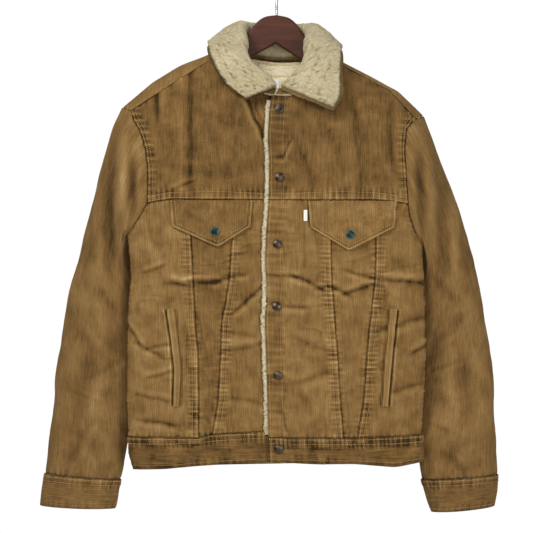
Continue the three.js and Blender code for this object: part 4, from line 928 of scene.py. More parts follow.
sleeveSettings = {
    "spacing": 3.0, "turnCells": 126,
    "pitReach": {"left": 12.0, "right": 9.0}, "pitHollow": {"left": 5.0, "right": 2.0},
    "topFlat": (345, 602), "topArea": 0.56, "underFlat": (166, 570), "underArea": 0.5,
}
cuffSettings = {"flat": (318, 54), "spacing": 2.8, "turnCells": 111}
for name, side in sides.items():
    sign = side["sign"]
    elbow = math.acos(1 - 2 * armholeLevel(side, 3))
    underarm = 2 * math.pi - math.acos(1 - 2 * armholeLevel(side, -2))
    near = [0.0, 0.012, 0.03, 0.048, 0.075, 0.1, 0.118, 0.135, 0.16]
    base = np.linspace(-elbow, 2 * math.pi - elbow, sleeveSettings["turnCells"])
    angles = np.unique(np.round(np.concatenate([
        base, -elbow + np.array(near), underarm + np.array([-0.03, -0.012, 0, 0.012, 0.03]),
        2 * math.pi - elbow - np.array([0.0, 0.012, 0.03])]), 6))
    angles = angles[np.concatenate([[True], np.diff(angles) > 0.004])]
    angles[np.argmin(np.abs(angles - underarm))] = underarm
    share = (1 - np.cos(angles)) / 2
    seamZ = blend(side["tipZ"], side["pitZ"], share)
    seamX = armhole[name](seamZ)
    frontHalf = np.sin(angles) > 0
    seamY = np.where(frontHalf, faceY("front", seamX, seamZ), faceY("back", seamX, seamZ))
    seam = np.stack([seamX, seamY, seamZ], axis=-1)
    seamRing = (bodyEdge[name](side["tipZ"]), side["tipZ"], bodyEdge[name](side["pitZ"]), side["pitZ"], -8, 30)
    away = seam - ringPoints(seamRing, angles)
    first = seam.copy()
    first[:, 0] += sign * (0.15 + 1.2 * share ** 9)
    rings = [first]
    for ring in sleeveRings[name]:
        rings.append(ringPoints(ring, angles) + away * (ring[6] * (1 - 0.6 * share ** 4))[:, None])
    rings = np.array(rings)
    cumulative = np.concatenate([[0], np.cumsum(np.linalg.norm(np.diff(rings, axis=0), axis=-1).mean(axis=1))])
    down = spacedShares(cumulative[-1], sleeveSettings["spacing"], edgePlaces("under"), edgePlaces("under"))
    levels = np.interp(down, cumulative, np.arange(len(rings)) / (len(rings) - 1))
    points = spline(rings, levels)
    amount = np.abs(np.sin(angles))[None, :] * smoothstep(down, 6, 40)[:, None]
    inwards = np.where(frontHalf, 1.0, -1.0)[None, :]
    sunk, foldShade = sleeveFoldDepth(sleeveFolds[name], points[..., 0], points[..., 2])
    points[..., 1] += inwards * amount * sunk
    # At the pit the sleeve's back half reaches behind the body, so no light shows between them
    pitBump = bell(points[..., 2] - side["pitZ"] + 44, 42) * share[None, :] ** 3 * smoothstep(down, 3, 22)[:, None]
    points[..., 0] -= sign * sleeveSettings["pitReach"][name] * pitBump * smoothstep(points[..., 1], -2, 14)
    points[..., 0] += sign * sleeveSettings["pitHollow"][name] * pitBump * (1 - smoothstep(points[..., 1], -22, -2))
    points = clearOfBody(name, points, np.minimum(2.2, 0.2 + 0.1 * down)[:, None])
    normals = gridNormals(points) * sign
    turned = arcAlong(points, 1)
    turned -= turned[:, [int(np.argmin(np.abs(angles)))]]
    downLine = down[:, None] + 0 * turned
    high = softNoise(turned / 30, downLine / 42, 61 + sign) * 1.5
    high += softNoise(turned / 13, downLine / 17, 63 + sign) * 0.55
    high += softNoise(turned / 6, downLine / 7, 65) * 0.18
    nearCuff = bell(cumulative[-1] - downLine, 26)
    nearArm = bell(downLine, 16)
    high += (nearCuff * 1.3 + nearArm * 0.5) * softNoise(turned / 7.5, downLine / 40, 67 + sign)
    high *= smoothstep(downLine, 0, 14) * 0.85 + 0.15
    high *= 1 - 0.9 * bell(downLine, 14) * share[None, :] ** 6
    high *= 1 - 0.85 * bell(cumulative[-1] - downLine, 5)
    # Painted light and shade: paler where the cloth bulges, darker where it sinks and in the folds; the tone also
    # darkens towards the cuff.
    tone = 0.5 + 0.05 * high + foldShade * amount - 0.07 * smoothstep(downLine, 380, 540)
    for far in (downLine, cumulative[-1] - downLine):
        more, shade = edgeRelief("under", far, turned, nextSeed())
        high, tone = high + more, tone + shade
    cut = int(np.argmin(np.abs(angles - underarm)))
    for low, top, style in ((0, cut, "lap"), (cut, len(angles) - 1, "under")):
        part = np.s_[:, low:top + 1]
        fromLow, fromTop = turned[part] - turned[:, [low]], turned[:, [top]] - turned[part]
        for edgeStyle, far in ((style, fromLow), ("under", fromTop)):
            more, shade = edgeRelief(edgeStyle, far, downLine[part], nextSeed())
            high[part] += more
            tone[part] += shade
    surface = points + normals * high[..., None]
    normals = gridNormals(surface) * sign
    elbowFar = turned - turned[:, [0]]
    for row in seamStyles["lap"]["rows"]:
        picks = [int(np.argmin(np.abs(elbowFar[j] - row))) for j in range(len(down))]
        line = np.array([
            [np.interp(row, elbowFar[j], surface[j, :, axis]) for axis in range(3)] for j in range(len(down))])
        stitchLines.append((line, np.array([normals[j, k] for j, k in enumerate(picks)])))
    uvs = pair(turned, -downLine)
    for label, low, top in (("top", 0, cut), ("under", cut, len(angles) - 1)):
        part = np.s_[:, low:top + 1]
        node = f"sleeve_{label}_{name}"
        piece = gridPiece(f"{node}_cloth", surface[part], normals[part], uvs[part], tone[part], shadedSleeveCorduroy,
                          sleeveLining, clothThickness)
        dress(piece, node)

    # Cuff: a folded band with a seam of two rows at its top and one at its hem
    wrap = np.linspace(0, 1, cuffSettings["turnCells"])[None, :]
    rings = np.array([ringPoints(ring, 2 * math.pi * wrap[0]) for ring in cuffRings[name]])
    length = float(np.linalg.norm(np.diff(rings, axis=0), axis=-1).mean(axis=1).sum())
    down = spacedShares(length, cuffSettings["spacing"], edgePlaces("lap"), edgePlaces("hem"))
    points = spline(rings, down / length)
    normals = gridNormals(points) * sign
    turned = arcAlong(points, 1)
    downLine = down[:, None] + 0 * turned
    high = 0.5 * (softNoise(wrap * 8 % 8, downLine / 40, 71) + softNoise((wrap * 20) % 20, downLine / 20, 72))
    high *= np.sin(np.pi * wrap) ** 0.5
    tone = 0.5 - darker[f"cuff_{name}"] + 0 * high
    for style, far in (("lap", downLine), ("hem", length - downLine)):
        more, shade = edgeRelief(style, far, turned, nextSeed())
        fade = smoothstep(wrap, 0, 0.03) * (1 - smoothstep(wrap, 0.97, 1))
        high, tone = high + more * blend(0.4, 1, fade), tone + shade
    high[:, -1], tone[:, -1] = high[:, 0], tone[:, 0]
    normals[:, 0] = normals[:, -1] = (normals[:, 1] + normals[:, -2]) / 2
    surface = points + normals * high[..., None]
    addStitchLines(surface, normals, "lap", "top")
    addStitchLines(surface, normals, "hem", "bottom")
    piece = gridPiece(f"cuff_{name}_cloth", surface, normals, pair(-downLine, turned), tone,
                      shadedSleeveCorduroy, liningPileWithPaintedLight, cuffThickness, closed=True)
    dress(piece, f"cuff_{name}")
print("sleeves and cuffs made")

# Collar: stations round the neck with the neckline, the fold and the outer edge
collarStations = [
    ((-4, -60, -211.5), (-2, -70, -205), (-48, -74, -221)),
    ((-23, -60, -208), (-18, -70, -186.5), (-76, -74, -201)),
    ((-58, -60, -188.5), (-42, -65, -168.5), (-100, -69, -166)),
    ((-74, -56, -163), (-52.5, -55, -147.5), (-108, -56, -147)),
    ((-79, -31, -137), (-57, -30, -121), (-110.5, -25, -133.5)),
    ((-78, -2, -128.5), (-60, -4, -100), (-108, 6, -131)),
    ((-57, 27, -136.5), (-45, 24, -98), (-84, 46, -144)),
    ((0, 35, -147), (0, 32, -101.5), (0, 58, -164)),
    ((57, 27, -144), (45, 24, -101), (83, 46, -150)),
    ((78, -2, -138.5), (61, -4, -104.5), (104, 6, -137)),
    ((78.3, -28, -144.5), (56.5, -30, -128), (107, -26, -141.5)),
    ((74, -56, -168.5), (51, -56, -155), (107, -58, -157)),
    ((62, -61, -191), (40, -68, -176.5), (105.5, -71, -183)),
    ((33, -67.5, -209), (23, -77, -195.5), (105, -79, -218)),
    ((1, -68.5, -212.5), (6, -79, -206), (92, -81, -242)),
]
collarSettings = {
    "bulge": 6.5, "around": 319, "along": 67, "base": 3.0, "tuftHeight": 7.0, "edgeRound": 5.0,
    "backingFlat": (589, 117), "backingArea": 0.7, "underFlat": (598, 114), "underArea": 0.7,
}


def collarSurface(around, along):
    sections = []
    for neck, fold, edge in collarStations:
        low, top, end = (np.array(place, float) for place in (neck, fold, edge))
        frontal = min(max(-low[1] / 60, 0), 1)
        across = (end - low) / np.linalg.norm(end - low)
        across = blend(across, np.array([0, -1.0, 0]), frontal)
        across /= np.linalg.norm(across)
        bulge = collarSettings["bulge"]
        knots = [low, blend(low, top, 0.7) - across * bulge * 0.7, top, blend(top, end, 0.16) + across * bulge,
                 blend(top, end, 0.55) + across * bulge, end]
        sections.append(spline(knots, along))
    return np.moveaxis(spline(np.array(sections), around), 0, 1)


around = np.linspace(0, 1, collarSettings["around"])
along = np.linspace(0, 1, collarSettings["along"])
collarBase = collarSurface(around, along)
alongRow = np.gradient(collarBase, axis=1)
collarOut = np.cross(alongRow, np.gradient(collarBase, axis=0))
collarOut /= np.maximum(np.linalg.norm(collarOut, axis=-1, keepdims=True), 1e-9)
collarU = arcAlong(collarBase, 1)
collarU = collarU - collarU[:, [collarU.shape[1] // 2]]
collarV = arcAlong(collarBase, 0)
toEdge = collarV[-1:] - collarV
toEnds = np.minimum(collarU - collarU[:, :1], collarU[:, -1:] - collarU)
toAnyEdge = np.minimum(toEdge, toEnds)


def tufts(u, v, seed):
    # Curly tufts in two sizes, bent out of any grid by a slow drift.
    driftU = u + 2.2 * softNoise(u / 9, v / 9, seed + 3)
    driftV = v + 2.2 * softNoise(u / 9, v / 9, seed + 4)
    big = crumbs(driftU, driftV, 7.2, seed)
    small = crumbs(driftU, driftV, 3.7, seed + 1)
    return 0.48 * big + 0.52 * small


edgeInset = 1.6 + 3.2 * smoothstep(np.linspace(0, 1, collarBase.shape[1]), 0.6, 0.97)[None, :]
pileEdgeFar = toAnyEdge - edgeInset
rounded = np.sqrt(1 - (1 - np.clip(pileEdgeFar / collarSettings["edgeRound"], 0, 1)) ** 2)
tuft = tufts(collarU, collarV, 81)
pileDepth = collarSettings["base"] + collarSettings["tuftHeight"] * (tuft - 0.25)
pileHeight = 0.9 + rounded * pileDepth * smoothstep(collarV, 2, 14)
pileHeight += rounded * 1.2 * softNoise(collarU / 22, collarV / 22, 83)
belowTop = collarBase[..., 2] - collarBase[..., 2].max(axis=0)
pileHeight += 3.5 * bell(belowTop, 12) * smoothstep(collarBase[..., 1], -60, -30)

# The pile's outer edge is ragged: it steps back and forth along the leaf
edgeward = np.gradient(collarBase, axis=0)
edgeward /= np.maximum(np.linalg.norm(edgeward, axis=-1, keepdims=True), 1e-9)
tooth = 1.5 * softNoise(collarU / 3.2, 0.5 + 0 * collarV, 87) - 0.6
tooth += 0.9 * softNoise(collarU / 8, 0.5 + 0 * collarV, 88)
surface = collarBase + collarOut * np.maximum(pileHeight, 0.7)[..., None]
surface = surface + edgeward * (tooth * bell(toEdge, 5) * smoothstep(toEnds, 0, 6))[..., None]
uvs = pair(collarU, collarV)
# Painted shade darkens the creases between tufts, the rounded edges and the neckline, and the tuft tops get painted
# highlight; the backing below takes the darkest shade colour.
pileTone = (0.02 + 0.66 * tuft ** 1.4 * rounded + 0.12 * rounded) * smoothstep(collarV, 1, 8) - 0.1
collarPile = gridPiece("collar_pile", surface, facing(surface, collarOut), uvs, pileTone, pile)
dress(collarPile, "collar_top")
coarse = np.s_[::3, ::3]
backing = gridPiece("collar_backing", (collarBase + collarOut * 0.55)[coarse], collarOut[coarse], uvs[coarse], 0.0,
                    pile, thickness=0.6)
dress(backing, None)

# Under-collar: its edge rolls a little towards the front, so it shows below the pile
roll = 2.6 * bell(toAnyEdge, 2.4) - 0.6
relief, shade = edgeRelief("single", toAnyEdge, collarU, nextSeed())
underSurface = collarBase + collarOut * roll[..., None]
thin = np.s_[:, ::2]
underPiece = gridPiece("collar_under_cloth", underSurface[thin], collarOut[thin], uvs[thin], (0.5 + shade)[thin],
                       corduroy, thickness=2.2)
dress(underPiece, "collar_under")
print("collar made")

# Back-neck lining and its blank label
liningSettings = {
    "inset": -(clothThickness + 2.4), "pile": 6.5, "endZ": -238, "halfWidth": 58, "flat": (118, 99),
    "seams": (-147.7, -173.6), "label": {"left": -10.5, "right": 6.0, "top": -178.0, "bottom": -193.0},
}
neckReach = curve([(-76, 8), (-70, 19), (-50, 31), (-25, 36), (0, 38), (25, 36), (50, 31), (68, 19), (76, 8)], soft=4)
liningX = np.linspace(-liningSettings["halfWidth"], liningSettings["halfWidth"], 76)[None, :]
liningShare = np.linspace(0, 1, 62)[:, None]
liningReach = blend(neckReach(liningX), reachAt(liningX, liningSettings["endZ"]), liningShare)
points = overShoulder(liningX + 0 * liningReach, liningReach)
outward = gridNormals(points)
outward *= np.sign(outward[30, 38, 1])
inward = -outward
base = points + outward * (liningSettings["inset"] - 1.0)
tuft = tufts(liningX + 0 * liningReach, liningReach, 91)
groove = sum(bell(points[..., 2] - seamZ, 2.2) for seamZ in liningSettings["seams"])
depth = 1.6 + 3.6 * tuft * (1 - 0.85 * groove)
uvs = pair(liningX, liningReach)
# Painted shade darkens the creases between tufts and the seams' grooves, and the tuft tops get painted highlight.
neckPile = gridPiece("back_neck_pile", base + inward * depth[..., None], inward, uvs, 0.2 + 0.5 * tuft - 0.2 * groove,
                     liningPileWithPaintedLight)
dress(neckPile, "back_neck_lining")
neckBacking = gridPiece("back_neck_backing", base, inward, uvs, 0.4, liningPileWithPaintedLight, thickness=0.6)
dress(neckBacking, None)

label = liningSettings["label"]
labelX = np.linspace(label["left"], label["right"], 12)[None, :]
labelReach = blend(reachAt(labelX, label["top"]), reachAt(labelX, label["bottom"]), np.linspace(0, 1, 12)[:, None])
points = overShoulder(labelX + 0 * labelReach, labelReach)
outward = gridNormals(points)
outward *= np.sign(outward[5, 5, 1])
lift = liningSettings["inset"] - liningSettings["pile"] - layerGap + 0.25 * np.sin(labelX / 2.1)
piece = gridPiece("neck_label_tape", points + outward * lift[..., None], -outward,
                  pair(labelX, labelReach), 0.5, labelTape, thickness=0.8)
dress(piece, "neck_label")
print("lining made")

# Pile edge of the front opening
edgeSettings = {"showing": 6.5, "top": -222.0, "bottom": -758.0, "rows": 477, "flat": (31, 536)}
edgeZ = np.linspace(edgeSettings["top"], edgeSettings["bottom"], edgeSettings["rows"])[:, None]
edgeAcross = np.concatenate([np.linspace(0, 11, 15), [14, 18, 24, 31]])[None, :]
ragged = 2.4 * softNoise(edgeZ / 2.2, 0.5, 101) + 1.3 * softNoise(edgeZ / 6.3, 0.5, 102) - 0.4
edgeX = frontEdge(edgeZ) - edgeSettings["showing"] + edgeAcross + ragged * bell(edgeAcross, 5)
base = np.stack([edgeX, faceY("front", edgeX, edgeZ), edgeZ + 0 * edgeX], axis=-1)
outward = gridNormals(base)
outward *= -np.sign(outward[100, 4, 1])
flatBase = np.stack([frontEdge(edgeZ) - edgeSettings["showing"] + edgeAcross, base[..., 1], base[..., 2]], axis=-1)
spikes = softNoise(edgeZ / 2.2 + edgeAcross / 9, 0.5 + 0 * edgeAcross, 101)
tuft = tufts(edgeAcross + 0 * edgeZ, edgeZ + 0 * edgeAcross, 103)
crown = np.sqrt(np.clip(1 - (1 - np.clip(edgeAcross / 3.2, 0, 1)) ** 2, 0, 1)) * (1 - smoothstep(edgeAcross, 7.5, 12))
pileLift = 1.2 + crown * (2.2 + 2.6 * tuft + 1.2 * spikes)
uvs = pair(edgeAcross, edgeZ)
# Painted highlight on the tufts' tops and spikes, painted shade between them.
edgePile = gridPiece("front_edge_tufts", base + outward * pileLift[..., None], outward, uvs,
                     0.4 + 0.45 * tuft * crown + 0.4 * spikes, pile, thickness=0.8)
dress(edgePile, "front_edge_pile")
coarse = np.s_[::14, ::3]
strip = gridPiece("front_edge_backing", (flatBase + outward * 0.9)[coarse], outward[coarse], uvs[coarse], 0.4, pile,
                  thickness=0.6)
dress(strip, None)
print("front edge made")

# Pocket flaps: a blunt point below, topstitched round, pale along the rolled edge as wear and painted highlight
flapSettings = {
    "left": {"from": -170, "to": -37.5, "top": -382.5, "sideZ": -424.5, "tipX": -93, "tipZ": -457.7, "rest": restGap,
             "flat": (139, 76)},
    "right": {"from": 51.5, "to": 193, "top": -383.5, "sideZ": -426, "tipX": 116, "tipZ": -463.5, "rest": 2 * restGap,
              "flat": (149, 81)},
}
flapLift, narrow = 2.4, 3.5
flapRows = (2.6, 7.6)  # stitches, from the edge
flapPlaces = (0, 0.7, 1.6, 2.6, 3.8, 6.4, 7.6, 8.8)


def onFront(x, z, lift):
    # A place on the body's front moved out by `lift`, with its outward direction.
    step = 1.0
    y = faceY("front", x, z)
    slopeX = (faceY("front", x + step, z) - faceY("front", x - step, z)) / (2 * step)
    slopeZ = (faceY("front", x, z + step) - faceY("front", x, z - step)) / (2 * step)
    out = np.stack([slopeX, -np.ones_like(slopeX), slopeZ], axis=-1)
    out /= np.linalg.norm(out, axis=-1, keepdims=True)
    high, _ = foldField("front", x, z)
    return np.stack([x, y, z], axis=-1) + out * (lift + 0.8 * high)[..., None], out


# Blank tab label at the right flap's inner edge
tabX = np.linspace(44.1, 50.1, 8)[None, :]
tabZ = np.linspace(-398, -416, 14)[:, None]
points, out = onFront(tabX + 0 * tabZ, tabZ + 0 * tabX, lapLift(tabX + 0 * tabZ) + 2.3)
tab = gridPiece("pocket_tab_tape", points, out, pair(tabX, tabZ), 0.5, labelTape, thickness=0.9)
dress(tab, "pocket_tab")

for name, flap in flapSettings.items():
    tipShare = (flap["tipX"] - flap["from"]) / (flap["to"] - flap["from"])
    width = flap["to"] - flap["from"]
    places = spacedShares(width, 2.6, flapPlaces, flapPlaces)
    places = np.unique(np.concatenate([places, [tipShare * width]]))
    topX = flap["from"] + places[None, :]
    end = np.where(topX < flap["tipX"], flap["from"], flap["to"])
    bottomZ = blend(flap["sideZ"], flap["tipZ"], (topX - end) / (flap["tipX"] - end))
    bottomZ = bottomZ + 1.2 * bell(topX - flap["tipX"], 3.5)
    longest = flap["top"] - flap["tipZ"]
    shares = (spacedShares(longest, 2.4, (0, 0.9, 2), flapPlaces) / longest)[:, None]
    centre = (flap["from"] + flap["to"]) / 2
    x = topX + shares * narrow * np.sign(centre - topX) * np.abs(topX - centre) / (flap["to"] - centre)
    z = blend(flap["top"], bottomZ, shares)
    fromEdge = np.minimum(np.minimum(topX - flap["from"], flap["to"] - topX) + 0 * z, (z - bottomZ) * 0.93)
    lift = flapThickness + flap["rest"] + flapLift * (flap["top"] - z) / longest
    lift = lift + (lapLift(x) if name == "right" else 0) + 0.35
    curl = 1.5 * bell(fromEdge, 9) * softNoise(x / 24, z / 24, 111 + len(name)) * smoothstep(shares, 0.15, 0.6)
    relief = 0.9 * (1 - smoothstep(fromEdge, 1.5, 4.5)) - 0.8 * bell(fromEdge, 0.7)
    for row in flapRows:
        relief = relief - 0.35 * bell(fromEdge - row, 1.0)
    ripple = softNoise(x / 5.2, z / 5.2, 115 + len(name))
    relief = relief + 0.45 * ripple * bell(fromEdge, 8) + 0.5 * softNoise(x / 19, z / 19, 117)
    # Painted shade below the rolled edge, in the inner stitch row and in the puckers' troughs, with painted highlight
    # on their crests.
    tone = 0.5 + 0.24 * bell(fromEdge - 0.9, 1.3) - 0.1 * bell(fromEdge - 4.6, 1.6)
    tone = tone - 0.08 * bell(fromEdge - flapRows[1], 1.0) + 0.05 * ripple - darker[f"pocket_flap_{name}"]
    surface, out = onFront(x, z, lift + curl + relief)
    normals = facing(surface, out)
    for row in flapRows:  # down one side, along both slopes of the point and up the other side
        outline = []
        for k in range(len(places)):
            if row <= places[k] <= width - row:
                j = int(np.argmin(np.abs(fromEdge[:, k] - row) + 9 * (shares[:, 0] < 0.3)))
                outline.append((j, k))
        firstColumn, lastColumn = outline[0][1], outline[-1][1]
        path = [(j, firstColumn) for j in range(0, outline[0][0])] + outline
        path += [(j, lastColumn) for j in range(outline[-1][0], -1, -1)]
        rowsAt, columnsAt = zip(*path)
        stitchLines.append((surface[rowsAt, columnsAt], normals[rowsAt, columnsAt]))
    piece = gridPiece(f"pocket_flap_{name}_cloth", surface, normals, pair(x, z), tone, corduroy,
                      thickness=flapThickness)
    dress(piece, f"pocket_flap_{name}")

# Welts of the slanting side pockets: a narrow strip, stitched both sides, open along its outer side
weltThickness, weltEnds = 2.4, (0, 0.8, 2)
for name, welt in weltSettings.items():
    z = weltTop - spacedShares(weltTop - weltBottom, 2.2, weltEnds, weltEnds)[:, None]
    across = np.linspace(-0.5, 0.5, 13)[None, :]
    middle, width = welt["middle"](z), welt["width"](z)
    x = middle + across * width
    fromOpen = (0.5 - welt["open"] * across) * width
    fromShut = (0.5 + welt["open"] * across) * width
    relief = 1.1 * bell(fromOpen, 3.0) - 1.0 * bell(fromShut, 1.6) - 0.5 * bell(fromOpen, 0.6)
    relief = relief + 0.4 * softNoise(z / 5.5 + 0 * x, across * 2, 121 + len(name))
    # The raised open edge is drawn paler, as wear and painted highlight, and painted shade darkens the sunk shut
    # side.
    tone = 0.52 + 0.2 * bell(fromOpen - 0.8, 1.4) - 0.25 * bell(fromShut, 1.2)
    surface, out = onFront(x, z + 0 * x, weltThickness + restGap + relief)
    normals = facing(surface, out)
    for column in (3, 9):
        stitchLines.append((surface[:, column], normals[:, column]))
    rowX = (middle + welt["open"] * (width / 2 + slitReach))[:, 0]
    stitchLines.append(onFront(rowX, z[:, 0], np.full_like(rowX, 0.15)))
    piece = gridPiece(f"pocket_welt_{name}_cloth", surface, normals, pair(x, z), tone, corduroy,
                      thickness=weltThickness)
    dress(piece, f"pocket_welt_{name}")
print("flaps, tab and welts made")

# Stitches: one short thread each, sunk a little in the cloth
stitchSettings = {"pitch": 3.7, "length": 2.5, "width": 1.15, "height": 0.8, "raised": 0.12, "chunk": 60}


def stitchPiece(name, lines):
    s = stitchSettings
    whole = bmesh.new()
    places = []
    for points, normals in lines:
        far = arcAlong(points, 0)
        count = int(far[-1] / s["pitch"])
        if count < 1:
            continue
        at = (np.arange(count) + 0.5) * far[-1] / count
        read = lambda values, where: np.stack([np.interp(where, far, values[:, axis]) for axis in range(3)], axis=-1)
        for middle, before, after, normal in zip(read(points, at), read(points, at - 0.8), read(points, at + 0.8),
                                                 read(normals, at)):
            places.append((Vector(middle), Vector(after - before).normalized(), Vector(normal).normalized()))
    for start in range(0, len(places), s["chunk"]):
        chunk = bmesh.new()
        for middle, alongStitch, normal in places[start:start + s["chunk"]]:
            across = normal.cross(alongStitch).normalized()
            up = alongStitch.cross(across)
            turn = Matrix((alongStitch * s["length"] / 2, across * s["width"] / 2, up * s["height"] / 2)).transposed()
            place = Matrix.Translation((middle + normal * s["raised"]) * millimetre) @ (turn * millimetre).to_4x4()
            bmesh.ops.create_icosphere(chunk, subdivisions=1, radius=1, matrix=place)
        holder = bpy.data.meshes.new("chunk")
        chunk.to_mesh(holder)
        chunk.free()
        whole.from_mesh(holder)
        bpy.data.meshes.remove(holder)
    bmesh.ops.recalc_face_normals(whole, faces=whole.faces[:])
    for face in whole.faces:
        face.smooth = True
    dress(meshObject(whole, name, thread), None)


stitchPiece("topstitching", stitchLines)
print("stitches made:", len(stitchLines), "rows")

# Buttons: a turned rim, a ring groove and a low dome
buttonSettings = {
    "profile": [(0, 0), (6.4, 0), (7.1, 0.4), (7.3, 1.1), (7.1, 1.7), (6.6, 2.0), (6.2, 1.9), (5.6, 2.2), (4.6, 2.7),
                (3.3, 3.1), (1.8, 3.35), (0, 3.4)],
    "front": [(5, -236), (5.5, -345.5), (2, -452.5), (1, -552.5), (3, -662.5), (4.5, -780.7)],
    "flaps": {"left": (-98, -432), "right": (119, -437.5)},
    "steps": 40, "domeReach": 5.3, "frontLift": 8.9, "washer": 1.3,
}


def addButton(name, node, x, z, lift, domeMetal, rimMetal):
    here, out = onFront(np.array([float(x)]), np.array([float(z)]), np.array([lift]))
    middle, up = Vector(here[0]) * millimetre, Vector(out[0])
    bm = bmesh.new()
    verts = [bm.verts.new((radius * millimetre, 0, high * millimetre)) for radius, high in buttonSettings["profile"]]
    edges = [bm.edges.new(pair) for pair in zip(verts, verts[1:])]
    bmesh.ops.spin(bm, geom=verts + edges, cent=(0, 0, 0), axis=(0, 0, 1), angle=2 * math.pi,
                   steps=buttonSettings["steps"], use_merge=True)
    bmesh.ops.remove_doubles(bm, verts=bm.verts[:], dist=1e-6)
    bmesh.ops.recalc_face_normals(bm, faces=bm.faces[:])
    for face in bm.faces:
        face.smooth = True
        centre = face.calc_center_median()
        face.material_index = 1 if math.hypot(centre.x, centre.y) > buttonSettings["domeReach"] * millimetre else 0
    bmesh.ops.transform(bm, matrix=Matrix.Translation(middle) @ up.to_track_quat("Z", "Y").to_matrix().to_4x4(),
                        verts=bm.verts[:])
    dress(meshObject(bm, name, domeMetal, rimMetal), node)


for index, (x, z) in enumerate(buttonSettings["front"]):
    lift = buttonSettings["frontLift"] + (bandRise if index == 5 else 0)  # the last one is on the hem band
    addButton(f"button_{index + 1}", f"front_button_{index + 1}", x, z, lift, bronze, bronze)
for name, (x, z) in buttonSettings["flaps"].items():
    lift = flapThickness + 0.45 + 0.67 * flapLift + buttonSettings["washer"]
    addButton(f"flap_button_{name}_metal", f"flap_button_{name}", x, z, lift, darkPatina, patina)
print("buttons made")

# Hanger: a shaped wooden bar with a wire hook
hangerSettings = {
    "top": [(0, 0), (20, -4), (34, -15), (49, -38), (62, -59), (84, -74), (120, -86), (160, -104), (205, -133)],
    "end": [(226, -151), (232, -160), (227, -168)],
    "bottom": [(200, -160), (150, -131), (100, -105), (46, -74)],
    "apexZ": -78, "tilt": 2.2, "thickness": 14.0, "bevel": 3.0, "peak": (0, -46),
}
hs = hangerSettings
half = [tuple(p) for p in spline(hs["top"], np.linspace(0, 1, 41))] + hs["end"] + hs["bottom"]
outline = half + [hs["peak"]] + [(-x, z) for x, z in half[:0:-1]]
bm = bmesh.new()
front = -hs["thickness"] / 2
face = bm.faces.new([bm.verts.new((x * millimetre, front * millimetre, z * millimetre)) for x, z in outline])
pulled = bmesh.ops.extrude_face_region(bm, geom=[face])
pulledVerts = [element for element in pulled["geom"] if isinstance(element, bmesh.types.BMVert)]
bmesh.ops.translate(bm, vec=(0, hs["thickness"] * millimetre, 0), verts=pulledVerts)
bmesh.ops.recalc_face_normals(bm, faces=bm.faces[:])
rims = [e for e in bm.edges if abs(e.verts[0].co.y - e.verts[1].co.y) < 1e-6]
bmesh.ops.bevel(bm, geom=rims, offset=hs["bevel"] * millimetre, offset_type="OFFSET", segments=3, profile=0.5,
                affect="EDGES", material=-1, clamp_overlap=True)
bmesh.ops.triangulate(bm, faces=[f for f in bm.faces if len(f.verts) > 4])
tilt = Matrix.Rotation(math.radians(hs["tilt"]), 4, "Y")
bmesh.ops.transform(bm, matrix=Matrix.Translation((0.0015, 0, hs["apexZ"] * millimetre)) @ tilt, verts=bm.verts[:])
dress(meshObject(bm, "hanger_bar_wood", wood), "hanger_bar")

hookSettings = {"wire": 4.0, "radius": 22.0, "cells": 120}
radius = hookSettings["radius"]
centreZ = hookSettings["wire"] / 2 - radius
turns = [math.radians(angle) for angle in range(195, -60, -30)]
knots = [(radius * math.cos(turn), 0, centreZ + radius * math.sin(turn)) for turn in turns]
knots += [(4.5, 0, centreZ - 25), (1.5, 0, centreZ - 36), (1.5, 0, hs["apexZ"] + 0.4)]
path = spline(knots, np.linspace(0, 1, hookSettings["cells"]))
hookCurve = bpy.data.curves.new("hook", "CURVE")
hookCurve.dimensions = "3D"
run = hookCurve.splines.new("POLY")
run.points.add(len(path) - 1)
for point, place in zip(run.points, path):
    point.co = (*(place * millimetre), 1)
hookCurve.bevel_depth = hookSettings["wire"] / 2 * millimetre
hookCurve.bevel_resolution = 4
hookCurve.use_fill_caps = True
hook = bpy.data.objects.new("hanger_hook_wire", hookCurve)
bpy.context.scene.collection.objects.link(hook)
hookCurve.materials.append(steel)
dress(hook, "hanger_hook")
print("hanger made")

# Floor, light and camera
floorMaterial, floorTree, floorShader = newMaterial("paleFloor")
fillInputs(floorTree, floorShader, {"Base Color": linear("#F4F3F1"), "Roughness": 0.8})
bm = bmesh.new()
bmesh.ops.create_circle(bm, cap_ends=True, segments=96, radius=1.05, matrix=Matrix.Translation((0, 0, -1.35)))
meshObject(bm, "floor", floorMaterial)

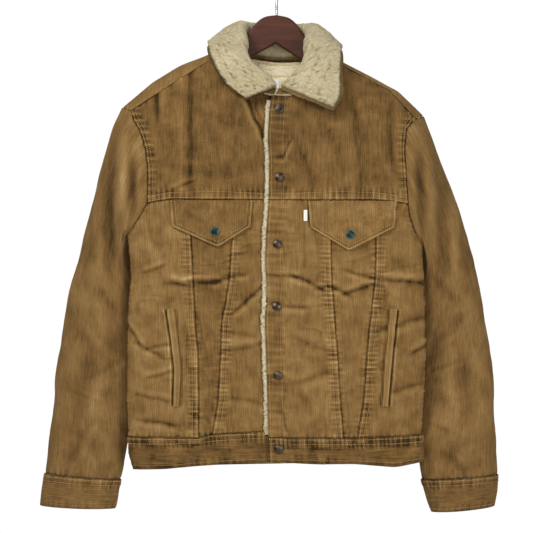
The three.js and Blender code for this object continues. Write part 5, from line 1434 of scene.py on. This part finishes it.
world = bpy.data.worlds.new("studio")
bpy.context.scene.world = world
world.use_nodes = True
background = world.node_tree.nodes["Background"]
background.inputs["Color"].default_value = (1, 1, 1, 1)
rays = addNode(world.node_tree, "LightPath")
strength = addNode(world.node_tree, "MapRange", {0: rays.outputs["Is Camera Ray"], 3: 0.21, 4: 1.02})
fillInputs(world.node_tree, background, {"Strength": strength})

# Name, place, size, power, aim and spread; the neck's weak lamp lifts the lining out of the collar's shade
jacketMiddle = (-0.015, 0, -0.45)
lightSettings = [
    ("keyLight", (-0.9, -1.3, 0.5), 0.6, 21, jacketMiddle, 180),
    ("fillLight", (1.1, -1.6, -0.7), 0.7, 16, jacketMiddle, 180),
    ("topLight", (0.1, -0.4, 1.3), 1.1, 3, jacketMiddle, 180),
    ("backLight", (0.2, 2.0, 0.1), 1.6, 30, jacketMiddle, 180),
    ("frontLight", (0.05, -2.7, 0.15), 0.4, 7, jacketMiddle, 180),
    ("neckLight", (0.0, -0.032, -0.176), 0.05, 0.0075, (0.0, 0.04, -0.168), 75),
]
for name, place, size, power, aim, spread in lightSettings:
    light = bpy.data.lights.new(name, "AREA")
    light.shape, light.size, light.energy, light.spread = "SQUARE", size, power, math.radians(spread)
    lamp = bpy.data.objects.new(name, light)
    bpy.context.scene.collection.objects.link(lamp)
    lamp.location = place
    lamp.rotation_euler = (Vector(aim) - Vector(place)).to_track_quat("-Z", "Y").to_euler()
    lamp.visible_camera = False

cameraSettings = {"centreX": -0.0154, "centreZ": -0.4887, "frameWidth": 0.8635, "planeY": -0.03, "distance": 3.2}
cameraData = bpy.data.cameras.new("camera")
camera = bpy.data.objects.new("camera", cameraData)
bpy.context.scene.collection.objects.link(camera)
cameraData.sensor_width = 36
cameraData.lens = 36 * cameraSettings["distance"] / cameraSettings["frameWidth"]
cameraY = cameraSettings["planeY"] - cameraSettings["distance"]
camera.location = (cameraSettings["centreX"], cameraY, cameraSettings["centreZ"])
camera.rotation_euler = (math.pi / 2, 0, 0)
bpy.context.scene.camera = camera
bpy.context.scene.view_settings.view_transform = "Standard"
